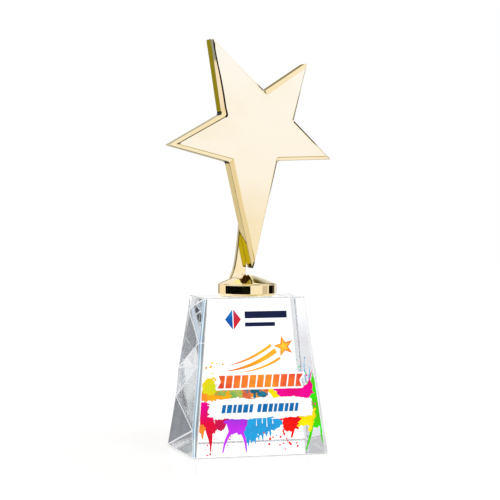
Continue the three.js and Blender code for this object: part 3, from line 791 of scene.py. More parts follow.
def build_crystal():
    """Tapered block: plain front, back and right side; the left side dressed with big triangular facets."""
    H, W0, W1, D0, D1 = 107.0, 96.0, 72.0, 74.0, 43.0
    AR, ARB, EB = 2.4, 0.8, 0.6
    hw = lambda z: (W0 + (W1 - W0) * z / H) / 2
    hd = lambda z: (D0 + (D1 - D0) * z / H) / 2
    verts, faces, mats = [], [], []

    def v(x, y, z):
        verts.append((x, y, z))
        return len(verts) - 1

    zt, zb = H - EB, EB
    F_OUT, B_IN = 0.9, 1.0
    side_v, side_c, facet_edges = {}, {}, set()
    for s in (-1, 1):
        fr = lambda z, out=0.0, back_=0.0: v(s * (hw(z) + out), -hd(z) + AR + back_, z)
        bk = lambda z, out=0.0: v(s * (hw(z) + out), hd(z) - ARB, z)
        k = 1.0 if s < 0 else RIGHT_FACETS
        front = [fr(zt), fr(76.9, F_OUT * k, 1.6 * k), fr(61.5, 0.0, 2.4 * k), fr(18.3, F_OUT * k, 2.2 * k), fr(zb)]
        back = [bk(zt), bk(96.8, -B_IN * k), bk(55.8, 0.25 * k), bk(35.2, -B_IN * k), bk(zb)]
        TF, C, X, F, Hh = front
        TB, B, D, E, G = back
        tri = [(TF, B, TB), (TF, C, B), (B, C, D), (C, X, D), (D, X, E), (X, F, E), (E, F, G), (F, Hh, G)]
        for t in tri:
            faces.append(t if s < 0 else t[::-1])
            # facets B-C-D and E-F-G take the grey painted reflection, D-X-E and X-F-E the pale one
            mats.append(8 if s < 0 and t in ((B, C, D), (E, F, G)) else 9 if s < 0 and t in ((X, F, E), (D, X, E)) else 0)
            if s < 0:
                facet_edges |= {frozenset((t[i], t[(i + 1) % 3])) for i in range(3)}
        # the flat cut along the front upright edge: a strip that follows the displaced corners, on the left split into
        # four bands of painted reflection, on the right one pale band of painted reflection
        inner = [v(s * (hw(z) - AR), -hd(z), z) for z in (zt, 76.9, 61.5, 18.3, zb)]
        cols_ = [front]
        for f in ((0.24, 0.50, 0.80) if s < 0 else ()):
            cols_.append([v(*(p + (q - p) * f for p, q in zip(verts[a_], verts[b_]))) for a_, b_ in zip(front, inner)])
        cols_.append(inner)
        for c in range(len(cols_) - 1):
            for i in range(4):
                q = (cols_[c][i], cols_[c + 1][i], cols_[c + 1][i + 1], cols_[c][i + 1])
                faces.append(q if s > 0 else q[::-1])
                mats.append(2 + c if s < 0 else 7)
        side_c[s] = cols_
        # the cut along the back upright edge is painted grey: a painted reflection
        outer = [v(s * (hw(z) - ARB), hd(z), z) for z in (zt, 96.8, 55.8, 35.2, zb)]
        for i in range(4):
            q = (back[i], back[i + 1], outer[i + 1], outer[i])
            faces.append(q if s > 0 else q[::-1])
            mats.append(6)
        side_v[s] = (front, back, inner, outer)
    (fl, bl, il, ol), (fr_, br, ir, orr) = side_v[-1], side_v[1]
    faces.append((*il, *ir[::-1]))                       # front
    faces.append((*orr, *ol[::-1]))                      # back
    mats += [0, 0]
    # top and bottom, each with a broken edge painted grey, a painted reflection
    for z, ze, i in ((H, zt, 0), (0.0, zb, -1)):
        ring = [il[i], ir[i], fr_[i], br[i], orr[i], ol[i], bl[i]] + [c[i] for c in side_c[-1][:-1]]
        w, d = hw(ze) - EB, hd(ze) - EB
        corners = [(-w + AR, -d), (w - AR, -d), (w, -d + AR), (w, d - ARB), (w - ARB, d), (-w + ARB, d), (-w, d - ARB)]
        corners += [(-w + AR * f, -d + AR - AR * f) for f in (0.0, 0.24, 0.50, 0.80)]
        cap = [v(x, y, z) for x, y in corners]
        for k in range(len(ring)):
            j = (k + 1) % len(ring)
            q = (ring[k], ring[j], cap[j], cap[k])
            faces.append(q if z else q[::-1])
            mats.append(6)
        faces.append(tuple(cap) if z else tuple(cap[::-1]))
        mats.append(0)
    o = mesh_object("crystal", verts, faces, [CRYSTAL, ARRIS_PAINTED_HIGHLIGHT, *PAINTED_STRIPS, EDGE_PAINTED_GREY, SIDE_PAINTED_PALE, FACET_PAINTED_GREY, FACET_PAINTED_PALE], mats)
    bm = bmesh.new()
    bm.from_mesh(o.data)
    bmesh.ops.recalc_face_normals(bm, faces=bm.faces)
    wt = bm.edges.layers.float.new("bevel_weight_edge")
    for ed in bm.edges:
        mi = [f.material_index for f in ed.link_faces]
        key = frozenset(v_.index for v_ in ed.verts)
        if key in facet_edges and set(mi) <= {0, 8, 9}:
            ed[wt] = 1.0                     # polished seams between the facets
        elif ed.calc_face_angle(0) > math.radians(8):
            ed[wt] = 0.36
    bm.to_mesh(o.data)
    bm.free()
    # every bevelled edge takes the white arris material: a painted highlight
    b = o.modifiers.new("arris", "BEVEL")
    b.width = 0.55 * MM
    b.segments = 2
    b.limit_method = "WEIGHT"
    b.material = 1
    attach(o, "root")
    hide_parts("crystal_block")
    return o


build_crystal()

give("star_back_plate", GOLD_PLATE)
for s in ("foot_screw", "foot_washer", "star_screw_lower", "star_screw_upper"):
    give(s, STEEL)
give("foot_bond_film", BOND)


def spline(pts, n):
    """Catmull-Rom through the points, n steps each."""
    out = []
    for i in range(len(pts) - 1):
        p0, p1, p2, p3 = pts[max(0, i - 1)], pts[i], pts[i + 1], pts[min(len(pts) - 1, i + 2)]
        for k in range(n):
            t = k / n
            out.append(tuple(0.5 * ((2 * b) + (c - a_) * t + (2 * a_ - 5 * b + 4 * c - d) * t * t + (3 * b - a_ - 3 * c + d) * t ** 3)
                             for a_, b, c, d in zip(p0, p1, p2, p3)))
    out.append(tuple(pts[-1]))
    return out


def build_foot():
    """Turned disc: low dome, crisp rolled rim, upright wall, rounded underside, and the screw recess below."""
    prof, band = [], []

    def run(pts, name):
        for p in pts:
            if prof and math.hypot(prof[-1][0] - p[0], prof[-1][1] - p[1]) < 1e-4:
                continue
            prof.append(p)
            band.append(name)
    z0 = 107.3
    run([(16.2, z0 + 2.6), (16.2, z0)], "recess")
    run([(18.5, z0)], "under")
    run([(18.9 + 1.5 * math.sin(math.radians(q)), z0 + 1.9 - 1.85 * math.cos(math.radians(q))) for q in range(10, 91, 10)], "under")
    run([(20.4, z0 + 2.0), (20.4, z0 + 3.6), (20.4, z0 + 5.4), (20.4, 114.76), (20.4, 114.85)], "wall")
    run([(20.4 - 0.42 * (1 - math.cos(math.radians(q))), 114.85 + 0.5 * math.sin(math.radians(q))) for q in (22, 45, 68)], "rim")
    run([(19.85, 115.4)], "rim2")
    run(spline([(19.6, 115.62), (19.1, 116.0), (18.2, 116.45), (16.6, 117.12), (13.6, 118.3), (11, 119.26), (8.2, 120.2), (5.5, 121.05), (3, 121.68), (1.4, 121.93)], 3), "dome")
    N = 144
    verts, faces, mats, smooth = [], [], [], []
    for r, z in prof:
        verts += [(r * math.cos(2 * math.pi * i / N), r * math.sin(2 * math.pi * i / N), z) for i in range(N)]
    for k in range(len(prof) - 1):
        for i in range(N):
            j = (i + 1) % N
            faces.append((k * N + i, k * N + j, (k + 1) * N + j, (k + 1) * N + i))
            # the ring at the top of the rim takes the brown edge strip: a painted reflection
            mats.append(1 if band[k + 1] in ("rim2",) else 0)
            smooth.append(True)
    for z, ring in ((122.0, len(prof) - 1), (z0 + 2.6, 0)):
        verts.append((0, 0, z))
        c = len(verts) - 1
        for i in range(N):
            j = (i + 1) % N
            faces.append((ring * N + i, ring * N + j, c) if ring else (j, i, c))
            mats.append(0)
            smooth.append(True)
    o = mesh_object("foot", verts, faces, [GOLD_FOOT, GOLD_LINE_PAINTED_BROWN], mats, smooth)
    bm = bmesh.new()
    bm.from_mesh(o.data)
    bmesh.ops.recalc_face_normals(bm, faces=bm.faces)
    for ed in bm.edges:
        if ed.calc_face_angle(0) > math.radians(35):
            ed.smooth = False
    bm.to_mesh(o.data)
    bm.free()
    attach(o, "root")
    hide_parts("foot_disc")


def build_stem():
    """Flat blade that flares into the foot, with soft polished edges."""
    left = spline([(-12.9, 117.0), (-11, 118), (-9.7, 119.8), (-8.6, 122.1), (-7.5, 125), (-6.7, 128.2), (-6, 132), (-5.2, 137.5),
                   (-4.5, 143.5), (-3.9, 150), (-3.2, 158), (-2.5, 167), (-2, 177), (-1.8, 188)], 3)
    top = [(2.7 - 4.5 * math.cos(math.radians(q)), 188 + 4.5 * math.sin(math.radians(q))) for q in range(12, 180, 12)]
    right_ = spline([(7.2, 188), (7.2, 177), (6.9, 167), (6.2, 158), (5.4, 150), (4.5, 143.5), (3.4, 137.5), (2.4, 132), (1.6, 128.2),
                     (1.1, 125), (0.8, 122.6), (1, 120.9), (1.9, 119.6), (3.4, 118.6)], 3)
    line = left + top + right_ + [(3.4, 116.6), (-4.0, 116.2), (-12.0, 116.0)]
    P = [Vector(p) for p in line]
    n = len(P)
    nrm = []
    for i in range(n):
        e = (P[(i + 1) % n] - P[i - 1]).normalized()
        nrm.append(Vector((e.y, -e.x)))          # clockwise outline: inward is to the right
    r = 0.55
    prof = [(r + 0.35, 6.62, "face"), (r, 6.62, "edge")]
    prof += [(r * (1 - math.sin(math.radians(q))), 6.62 + r * (1 - math.cos(math.radians(q))), "edge") for q in (22, 45, 68)]
    prof += [(0.0, 6.62 + r, "wall"), (0.0, 11.62 - r, "round")]
    prof += [(r * (1 - math.cos(math.radians(q))), 11.62 - r + r * math.sin(math.radians(q)), "round") for q in (22, 45, 68)]
    prof += [(r, 11.62, "back")]
    verts, faces, mats, smooth = [], [], [], []
    for s_, y, band in prof:
        verts += [(p.x + m.x * s_, y, p.y + m.y * s_) for p, m in zip(P, nrm)]
    nl = len(left)
    for k in range(len(prof) - 1):
        for i in range(n):
            j = (i + 1) % n
            faces.append((k * n + i, k * n + j, (k + 1) * n + j, (k + 1) * n + i))
            # the front fillet along the blade's left side takes the brown edge strip: a painted reflection
            mats.append(1 if prof[k][2] == "edge" and i < nl else 0)
            smooth.append(prof[k][2] != "face")
    faces.append(tuple(range(n - 1, -1, -1)))
    faces.append(tuple((len(prof) - 1) * n + i for i in range(n)))
    mats += [0, 0]
    smooth += [False, False]
    o = mesh_object("stem", verts, faces, [GOLD_STEM, GOLD_LINE_PAINTED_BROWN], mats, smooth)
    bm = bmesh.new()
    bm.from_mesh(o.data)
    bmesh.ops.recalc_face_normals(bm, faces=bm.faces)
    for ed in bm.edges:
        if ed.calc_face_angle(0) > math.radians(40):
            ed.smooth = False
    bm.to_mesh(o.data)
    bm.free()
    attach(o, "root")
    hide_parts("stem_blade")


build_foot()
build_stem()


# ------------------------------------------------------------------ print
# The print lies on the sloping front face.  u runs to the right, v up the slope, mm.
SLOPE = math.atan2(37.0 - 21.5, 107.0)
FU, FV = np.array([1.0, 0, 0]), np.array([0, math.sin(SLOPE), math.cos(SLOPE)])
FN = np.array([0, -math.cos(SLOPE), math.sin(SLOPE)])
FO = np.array([0, -37.0, 0.0])
INK = 0.014                                 # thickness of one pass of ink
LIFT = lambda k: 0.030 + 0.024 * k          # height of pass k above the glass


def hash2(ix, iy, seed):
    h = np.sin(ix * 127.1 + iy * 311.7 + seed * 74.7) * 43758.5453
    return h - np.floor(h)


def vnoise(u, v, size, seed):
    x, y = u / size, v / size
    ix, iy = np.floor(x), np.floor(y)
    fx, fy = x - ix, y - iy
    fx, fy = fx * fx * (3 - 2 * fx), fy * fy * (3 - 2 * fy)
    p = hash2(ix, iy, seed) * (1 - fx) + hash2(ix + 1, iy, seed) * fx
    q = hash2(ix, iy + 1, seed) * (1 - fx) + hash2(ix + 1, iy + 1, seed) * fx
    return (p * (1 - fy) + q * fy) * 2 - 1


def ragged(u, v, seed, amp=1.0, size=3.2):
    return amp * (0.60 * vnoise(u, v, size, seed) + 0.55 * vnoise(u, v, size * 0.42, seed + 5) + 0.45 * vnoise(u, v, size * 0.22, seed + 9)) + 0.1


def blob(u, v, cu, cv, ru, rv):
    return (1 - np.sqrt(((u - cu) / ru) ** 2 + ((v - cv) / rv) ** 2)) * min(ru, rv)


def drip(u, v, u0, v0, r0, u1, v1, r1, bend=0.0):
    du, dv = u1 - u0, v1 - v0
    L = math.hypot(du, dv)
    t = np.clip(((u - u0) * du + (v - v0) * dv) / (L * L), 0, 1)
    off = bend * np.sin(math.pi * t)
    cu, cv = u0 + du * t - dv / L * off, v0 + dv * t + du / L * off
    return r0 + (r1 - r0) * t - np.sqrt((u - cu) ** 2 + (v - cv) ** 2)


def poly(u, v, pts):
    """Signed distance to a polygon, positive inside."""
    d = np.full(u.shape, 1e9)
    inside = np.zeros(u.shape, bool)
    n = len(pts)
    for i in range(n):
        (x0, y0), (x1, y1) = pts[i], pts[(i + 1) % n]
        ex, ey = x1 - x0, y1 - y0
        t = np.clip(((u - x0) * ex + (v - y0) * ey) / (ex * ex + ey * ey), 0, 1)
        d = np.minimum(d, np.hypot(u - x0 - ex * t, v - y0 - ey * t))
        if y0 != y1:
            hit = ((y0 > v) != (y1 > v)) & (u < (x1 - x0) * (v - y0) / (y1 - y0) + x0)
            inside ^= hit
    return np.where(inside, d, -d)


def spots(u, v, box, n, seed, r0=0.16, r1=0.6):
    f = np.full(u.shape, -9.0)
    r0, r1 = r0 * 1.45, r1 * 1.5
    for k in range(int(n * 1.7)):
        a, b, c = (float(hash2(np.float64(k + 1), np.float64(j * 3 + 2), seed)) for j in range(3))
        cu, cv = box[0] + (box[1] - box[0]) * a, box[2] + (box[3] - box[2]) * b
        f = np.maximum(f, blob(u, v, cu, cv, r0 + (r1 - r0) * c ** 3, (r0 + (r1 - r0) * c ** 3) * 1.15))
    return f


def join(*fs):
    out = fs[0]
    for f in fs[1:]:
        out = np.maximum(out, f)
    return out


def soft_join(k, *fs):
    return k * np.log(sum(np.exp(np.clip(f, -30, 30) / k) for f in fs))


def on_face(u, v, lift):
    z = v * math.cos(SLOPE)
    hw = 48.0 - 12.0 * z / 107.0
    lim = hw - 2.4 - 0.22 - np.abs(u)
    low = v - np.maximum(1.0, (0.99 * (lift + INK) - 0.06) / math.sin(SLOPE))
    return np.minimum(lim, low)


def sheet_object(name, verts, tris, k, mat, node):
    """A thin closed film: outer skin, inner skin and a wall round every outline."""
    n = len(verts)
    P = np.array(verts)
    base = FO + P[:, :1] * FU + P[:, 1:2] * FV
    top, bot = base + FN * (LIFT(k) + INK), base + FN * LIFT(k)
    faces = [tuple(t) for t in tris] + [tuple(n + i for i in reversed(t)) for t in tris]
    once = {}
    for t in tris:
        for i in range(len(t)):
            e = (t[i], t[(i + 1) % len(t)])
            if (e[1], e[0]) in once:
                del once[(e[1], e[0])]
            else:
                once[e] = 1
    faces += [(n + p, n + q, q, p) for p, q in once]
    o = mesh_object(name, list(map(tuple, np.vstack([top, bot]))), faces, [mat])
    o.visible_glossy = False       # the photographed table mirrors the glass but not the print
    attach(o, "root")
    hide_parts(node)
    return o


def film(name, field, box, k, mat, node="print_splash", step=0.45):
    """One pass of ink, wherever the field is positive (marching squares)."""
    nu, nv = int(math.ceil((box[1] - box[0]) / step)), int(math.ceil((box[3] - box[2]) / step))
    gu, gv = box[0] + step * np.arange(nu + 1), box[2] + step * np.arange(nv + 1)
    U, V = np.meshgrid(gu, gv, indexing="ij")
    F = np.clip(np.minimum(field(U, V), on_face(U, V, LIFT(k))), -step, step)
    F[0, :] = F[-1, :] = F[:, 0] = F[:, -1] = -step
    F[np.abs(F) < 1e-3] = -1e-3
    IN = F > 0
    verts, index, cells = [], {}, []

    def corner(i, j):
        key = (i, j)
        if key not in index:
            index[key] = len(verts)
            verts.append((gu[i], gv[j]))
        return index[key]

    def cross(i0, j0, i1, j1):
        if (i1, j1) < (i0, j0):
            i0, j0, i1, j1 = i1, j1, i0, j0
        key = (i0, j0, i1, j1)
        if key not in index:
            t = F[i0, j0] / (F[i0, j0] - F[i1, j1])
            t = min(0.96, max(0.04, t))
            index[key] = len(verts)
            verts.append((gu[i0] + (gu[i1] - gu[i0]) * t, gv[j0] + (gv[j1] - gv[j0]) * t))
        return index[key]

    live = IN[:-1, :-1] | IN[1:, :-1] | IN[:-1, 1:] | IN[1:, 1:]
    for i, j in zip(*np.nonzero(live)):
        ring = [(i, j), (i + 1, j), (i + 1, j + 1), (i, j + 1)]
        flags = [bool(IN[c]) for c in ring]
        if flags[0] == flags[2] and flags[1] == flags[3] and flags[0] != flags[1]:
            # two opposite corners: two separate nibs
            for c in range(4):
                if flags[c]:
                    nxt, prv = ring[(c + 1) % 4], ring[c - 1]
                    cells.append((cross(*prv, *ring[c]), corner(*ring[c]), cross(*ring[c], *nxt)))
            continue
        face = []
        for c in range(4):
            p, q = ring[c], ring[(c + 1) % 4]
            if flags[c]:
                face.append(corner(*p))
            if flags[c] != flags[(c + 1) % 4]:
                face.append(cross(*p, *q))
        cells.append(tuple(face))
    return sheet_object(name, verts, cells, k, mat, node)


def cut(name, polys, k, mat, node):
    """Crisp shapes: each polygon (counter-clockwise) is one face of the film."""
    verts, faces = [], []
    for p in polys:
        area = sum(p[i][0] * p[(i + 1) % len(p)][1] - p[(i + 1) % len(p)][0] * p[i][1] for i in range(len(p)))
        p = p if area > 0 else p[::-1]
        faces.append(tuple(range(len(verts), len(verts) + len(p))))
        verts += list(p)
    return sheet_object(name, verts, faces, k, mat, node)


def two_tone(name, c, d=None, scale=90.0):
    c = lin(*c)
    d = lin(*d) if d else tuple(x * 0.82 for x in c)
    return ink(name, c, d, scale)


def blend(name, stops, axis, lo, hi, mottle=0.10):
    """Ink that shifts colour along the face (axis 0 = across, 2 = up), with a mottled edge to each tone."""
    m, n = material(name)
    obj = n.new("ShaderNodeTexCoord").outputs["Object"]
    sp = n.new("ShaderNodeSeparateXYZ")
    n.put(sp.inputs[0], obj)
    t = n.linear(sp.outputs[axis], lo * MM, hi * MM)
    t = n.math("ADD", t, n.math("MULTIPLY", n.math("SUBTRACT", n.noise(obj, 150.0, 4.0), 0.5), mottle * 4), clamp=True)
    p = n.new("ShaderNodeBsdfPrincipled")
    n.put(p.inputs["Base Color"], n.ramp(t, [(q, lin(*c)) for q, c in stops]))
    n.put(p.inputs["Roughness"], n.math("ADD", 0.32, n.math("MULTIPLY", n.noise(obj, 700.0), 0.18)))
    p.inputs["Specular IOR Level"].default_value = 0.06
    bp = n.new("ShaderNodeBump")
    bp.inputs["Strength"].default_value = 0.15
    bp.inputs["Distance"].default_value = 0.00002
    n.put(bp.inputs["Height"], n.noise(obj, 2600.0, 1.0))
    n.put(p.inputs["Normal"], bp.outputs[0])
    o = n.new("ShaderNodeOutputMaterial")
    n.put(o.inputs[0], p.outputs[0])
    return m


def f_green(u, v):
    body = poly(u, v, [(36.9, 50.5), (38.2, 52.8), (41.5, 52.5), (45, 40), (46, 22), (44.6, 18.5), (41.5, 19.6), (38.5, 18.2), (35.5, 22), (34.2, 30), (35.6, 38), (36.4, 44)])
    return join(body + ragged(u, v, 3, 0.9), drip(u, v, 36.6, 21, 1.3, 31.6, 3.6, 0.45, 0.7), drip(u, v, 43.2, 20, 0.9, 43.6, 8.4, 0.4, -0.4),
                drip(u, v, 37.4, 49, 0.5, 38.8, 55.2, 0.25), spots(u, v, (28, 40, 42, 60), 12, 31, 0.14, 0.45))


def f_left(u, v):
    body = poly(u, v, [(-42.6, 38.6), (-34.4, 37.0), (-33.8, 31), (-33.0, 24.4), (-30.8, 20.6), (-32.6, 17.2), (-35.2, 15.4), (-38.6, 18.4), (-42.8, 20.4), (-43.4, 30)])
    return join(body + ragged(u, v, 11, 1.0), drip(u, v, -36.4, 18, 2.3, -35.6, 8.0, 0.6, 0.3), drip(u, v, -35.6, 8, 0.6, -36.0, 4.8, 0.42),
                blob(u, v, -36.2, 2.9, 0.7, 0.8), spots(u, v, (-42, -30, 1.5, 15), 12, 37, 0.14, 0.5))


def f_orange(u, v):
    body = poly(u, v, [(-42, 38.4), (-41.4, 45.0), (-36, 48.4), (-30, 47.4), (-20, 46.8), (-10, 46.4), (3, 46.6), (6, 43), (3, 38.5), (-10, 37.6), (-25, 38.8)])
    low = poly(u, v, [(-43.8, 22.6), (-41.4, 23.4), (-39.0, 20.6), (-39.8, 16.6), (-41.2, 13.4), (-42.4, 17.0), (-44.2, 18.6)])
    return join(body + ragged(u, v, 17, 1.1), low + ragged(u, v, 19, 0.8, 2.0), spots(u, v, (-41, -24, 47, 66), 26, 41, 0.14, 0.5))


def f_lime(u, v):
    body = poly(u, v, [(-41.2, 44.6), (-40.0, 50.6), (-36.8, 54.2), (-32.6, 54.0), (-30.2, 49.6), (-31.0, 44.6), (-35.0, 42.4)])
    return join(body + ragged(u, v, 23, 1.6, 2.2), spots(u, v, (-40, -28, 50, 70), 22, 43, 0.14, 0.5))


def f_green_mix(u, v):
    return join(blob(u, v, -15.0, 43.0, 6.2, 3.4) + ragged(u, v, 29, 2.4, 2.2), blob(u, v, -27, 43.6, 3.0, 2.0) + ragged(u, v, 30, 1.6, 1.8))


def f_teal(u, v):
    return join(blob(u, v, -3.4, 45.2, 4.6, 1.9) + ragged(u, v, 33, 1.5, 1.8), blob(u, v, 2.2, 41.4, 2.2, 1.9) + ragged(u, v, 35, 1.0, 1.5),
                spots(u, v, (-11, 6, 38, 47), 16, 47, 0.2, 0.9))


def f_rust(u, v):
    return join(blob(u, v, -8.6, 43.8, 2.6, 3.0) + ragged(u, v, 39, 1.8, 1.7), spots(u, v, (-12, 6, 38.4, 47.4), 26, 53, 0.3, 1.0))


def f_yellow(u, v):
    a = poly(u, v, [(1.8, 46.8), (8.2, 46.8), (14.2, 41.4), (15.0, 38.2), (10.4, 38.0), (7.8, 42.2)])
    b = poly(u, v, [(25.2, 27.6), (30, 29.2), (34.4, 27.0), (36.6, 31.6), (39.6, 31.2), (39.8, 26.0), (36.8, 19.6), (35.0, 16.4), (33.6, 21.0), (30, 19.4), (26.8, 19.6)])
    return join(a + ragged(u, v, 51, 0.5), b + ragged(u, v, 53, 1.4, 2.4), spots(u, v, (12, 36, 38, 48), 12, 57, 0.15, 0.4))


def f_magenta(u, v):
    a = poly(u, v, [(9.6, 46.4), (20, 46.6), (33.2, 47.0), (36.0, 50.6), (37.4, 50.2), (37.8, 42.4), (35.0, 38.6), (28, 39.4), (17, 39.0), (13.6, 41.2)])
    return join(a + ragged(u, v, 59, 0.9), drip(u, v, 35.6, 48.5, 0.7, 37.8, 57.0, 0.22, 0.3), spots(u, v, (26, 40, 26, 58), 26, 61, 0.14, 0.45))


def f_sky(u, v):
    a = poly(u, v, [(-12.6, 26.0), (-6, 27.4), (2, 27.0), (10, 28.0), (15.2, 27.6), (16.0, 22.0), (10.4, 18.4), (3.4, 15.6), (-2, 13.6), (-7.8, 11.0), (-10.8, 9.2), (-12.4, 14)])
    drips = join(*[drip(u, v, q, 17.5 - abs(q - 13) * 0.26, 0.8, q + 0.15, 17.5 - abs(q - 13) * 0.26 - h, 0.25) for q, h in
                   ((-11.4, 5.0), (-9.2, 4.6), (-7.0, 3.0), (-4.4, 4.2), (-1.8, 2.4), (1.0, 3.6), (3.8, 1.8), (6.6, 2.6))])
    holes = join(*[drip(u, v, q, 27, 0.14, q, 27 - h, 0.3) for q, h in ((-3.0, 6.0), (1.2, 4.4), (4.4, 7.0), (8.6, 5.0))])
    return join(np.minimum(join(a + ragged(u, v, 63, 1.5, 2.6), drips), -holes), spots(u, v, (-12, 14, 6, 16), 14, 67, 0.14, 0.4),
                spots(u, v, (20, 34, 54, 66), 12, 68, 0.14, 0.36))


def f_strokes(u, v):
    return join(drip(u, v, 33.6, 50.0, 0.35, 33.0, 66.0, 0.14, 0.7), drip(u, v, 30.4, 52.0, 0.5, 29.4, 58.6, 0.2), drip(u, v, 35.6, 52.0, 0.4, 36.2, 60.2, 0.14, -0.4),
                drip(u, v, 33.2, 57.0, 0.2, 31.2, 63.2, 0.12), spots(u, v, (27, 38, 48, 68), 16, 71, 0.12, 0.35))


def f_red(u, v):
    a = poly(u, v, [(14.4, 27.6), (20, 28.8), (26.6, 28.6), (27.8, 24.0), (26.0, 19.2), (22.8, 17.0), (18.6, 16.2), (14.8, 19.4), (16.4, 23.4), (12.8, 25.8)])
    return join(a + ragged(u, v, 73, 1.7, 2.2), drip(u, v, 23.4, 18, 0.8, 21.6, 12.6, 0.7), drip(u, v, 15.8, 17, 0.5, 16.4, 13.4, 0.3),
                blob(u, v, 6.2, 11.6, 0.9, 0.9), blob(u, v, 13.0, 7.4, 0.6, 0.7), blob(u, v, 25.6, 6.2, 0.75, 0.85), blob(u, v, 18.6, 9.8, 0.5, 0.6), spots(u, v, (-4, 30, 2.4, 17), 18, 79, 0.14, 0.55))


def f_crimson(u, v):
    a = poly(u, v, [(-33.0, 25.6), (-28.0, 27.2), (-22.4, 27.6), (-18.0, 27.0), (-20.6, 24.2), (-24.6, 22.8), (-27.0, 19.4), (-30.4, 19.0), (-32.0, 22.0)])
    return join(a + ragged(u, v, 83, 1.4, 2.0), spots(u, v, (-34, -20, 8, 20), 10, 89, 0.14, 0.4))


def f_purple(u, v):
    a = poly(u, v, [(-25.6, 24.4), (-21.6, 25.6), (-19.4, 28.4), (-15.4, 28.0), (-10.6, 26.6), (-9.0, 22.6), (-11.6, 18.2), (-14.2, 15.6), (-17.0, 16.2), (-20.6, 15.4), (-23.2, 17.8)])
    return join(a + ragged(u, v, 91, 1.2, 2.4), drip(u, v, -21.4, 17.4, 1.3, -27.4, 3.4, 0.42, -0.9), drip(u, v, -13.6, 17.0, 1.2, -10.9, 3.8, 0.45, 0.9),
                spots(u, v, (-30, -6, 4, 18), 10, 97, 0.14, 0.4), blob(u, v, -6.4, 27.4, 2.2, 1.2) + ragged(u, v, 99, 1.0, 1.4))


LABEL = [(-37.6, 27.0), (-36.8, 38.6), (-30, 40.2), (-15, 40.9), (0, 40.4), (15, 41.0), (30, 40.2), (37.2, 39.0),
         (37.8, 33.0), (37.4, 26.4), (30, 25.2), (15, 24.6), (0, 25.3), (-15, 24.7), (-30, 25.4)]


def f_label(u, v):
    brush = 0.75 * vnoise(u, v * 3.2, 3.0, 101) + 0.45 * vnoise(u, v * 2.0, 1.2, 103) + 0.7 * vnoise(u * 0.35, v * 3.0, 1.6, 105) * (np.abs(u) > 33)
    return poly(u, v, LABEL) - 0.9 + brush


film("ink_green", f_green, (26, 47, 2, 61), 0, two_tone("ink_green", (44, 228, 2), (84, 196, 6)))
film("ink_left", f_left, (-45, -28, 0.6, 41), 0, blend("ink_left", [(0.0, (214, 22, 48)), (0.42, (224, 6, 60)), (0.72, (224, 0, 122)), (1.0, (236, 0, 140))], 2, 12, 38))
film("ink_orange", f_orange, (-45.6, 8, 11, 67), 1, blend("ink_orange", [(0.0, (238, 128, 44)), (0.30, (246, 166, 22)), (0.62, (250, 182, 16)), (0.8, (246, 150, 44)), (1.0, (236, 120, 60))], 0, -44, 6, 0.2))
film("ink_yellow", f_yellow, (0, 42, 14, 49), 2, two_tone("ink_yellow", (255, 232, 0), (252, 214, 10)))
film("ink_magenta", f_magenta, (8, 41, 25, 59), 3, two_tone("ink_magenta", (238, 0, 142), (226, 0, 120)))
film("ink_lime", f_lime, (-42, -26, 42, 71), 4, two_tone("ink_lime", (208, 214, 30), (234, 206, 20)))
film("ink_sky", f_sky, (-15, 36, 3, 67), 5, two_tone("ink_sky", (34, 162, 222), (44, 148, 208)))
film("ink_strokes", f_strokes, (26, 39, 47, 69), 6, two_tone("ink_strokes", (96, 186, 226), (54, 120, 170)), step=0.3)
film("ink_red", f_red, (-5, 31, 2.6, 31), 6, two_tone("ink_red", (252, 22, 12), (224, 14, 20)))
film("ink_crimson", f_crimson, (-36, -15, 7, 30), 6, two_tone("ink_crimson", (210, 18, 56), (196, 16, 80)))
film("ink_purple", f_purple, (-31, -3, 3, 31), 7, blend("ink_purple", [(0.0, (196, 62, 244)), (0.5, (190, 44, 226)), (1.0, (120, 60, 200))], 2, 12, 29, 0.12))
film("ink_moss", f_green_mix, (-32, -7, 38, 48), 8, two_tone("ink_moss", (118, 176, 84), (186, 186, 90), 160.0), step=0.4)
film("ink_rust", f_rust, (-13, 8, 37.6, 48.4), 9, two_tone("ink_rust", (206, 92, 56), (232, 132, 84), 160.0), step=0.35)
film("ink_teal", f_teal, (-13, 8, 37.6, 48.4), 10, two_tone("ink_teal", (36, 124, 150), (24, 84, 110), 160.0), step=0.35)

WHITE = two_tone("ink_white", (254, 254, 253), (250, 250, 250))
film("ink_label", f_label, (-40, 40, 23, 43), 11, WHITE, "print_label", 0.4)


def slant(u0, u1, v0, v1, lean=0.2):
    return [(u0, v0), (u1, v0), (u1 + (v1 - v0) * lean, v1), (u0 + (v1 - v0) * lean, v1)]


# a plain rule of slanted blocks on the label
RULE_BLOCKS, q = [], -27.4
for w in (2.6, 3.4, 2.2, 3.0, 3.4, 2.4, 0.0, 2.6, 3.4, 2.8, 2.2, 3.6, 2.4, 3.0, 2.2):
    if w:
        RULE_BLOCKS.append(slant(q, q + w, 30.0, 35.6))
    q += (w or 1.4) + 0.95
cut("ink_rule", RULE_BLOCKS, 12, two_tone("ink_rule", (18, 112, 176), (14, 98, 160)), "print_label_rule")

# the heading ribbon: eleven slanted blocks on a white outline
WORD, q = [], -29.6
for i in range(11):
    w = 4.5
    b = slant(q, q + w, 46.8, 55.4, 0.16)
    if i == 0:
        b = [b[0], b[1], b[2], b[3], (q + 2.6, 51.1)]
    if i == 10:
        b = [b[0], b[1], (q + w - 1.4, 51.1), b[2], b[3]]
    WORD.append(b)
    q += w + 1.02
film("ink_heading_white", lambda u, v: join(*[poly(u, v, b) for b in WORD]) + 1.25 + 0.15 * vnoise(u, v, 1.5, 7), (-33, 35, 44, 59), 12, WHITE, "print_word_bar", 0.35)
cut("ink_heading", WORD, 13, blend("ink_heading", [(0.0, (214, 66, 44)), (0.22, (238, 110, 44)), (0.5, (240, 150, 40)), (0.78, (238, 104, 44)), (1.0, (222, 70, 50))], 0, -30, 32, 0.22), "print_word_bar")


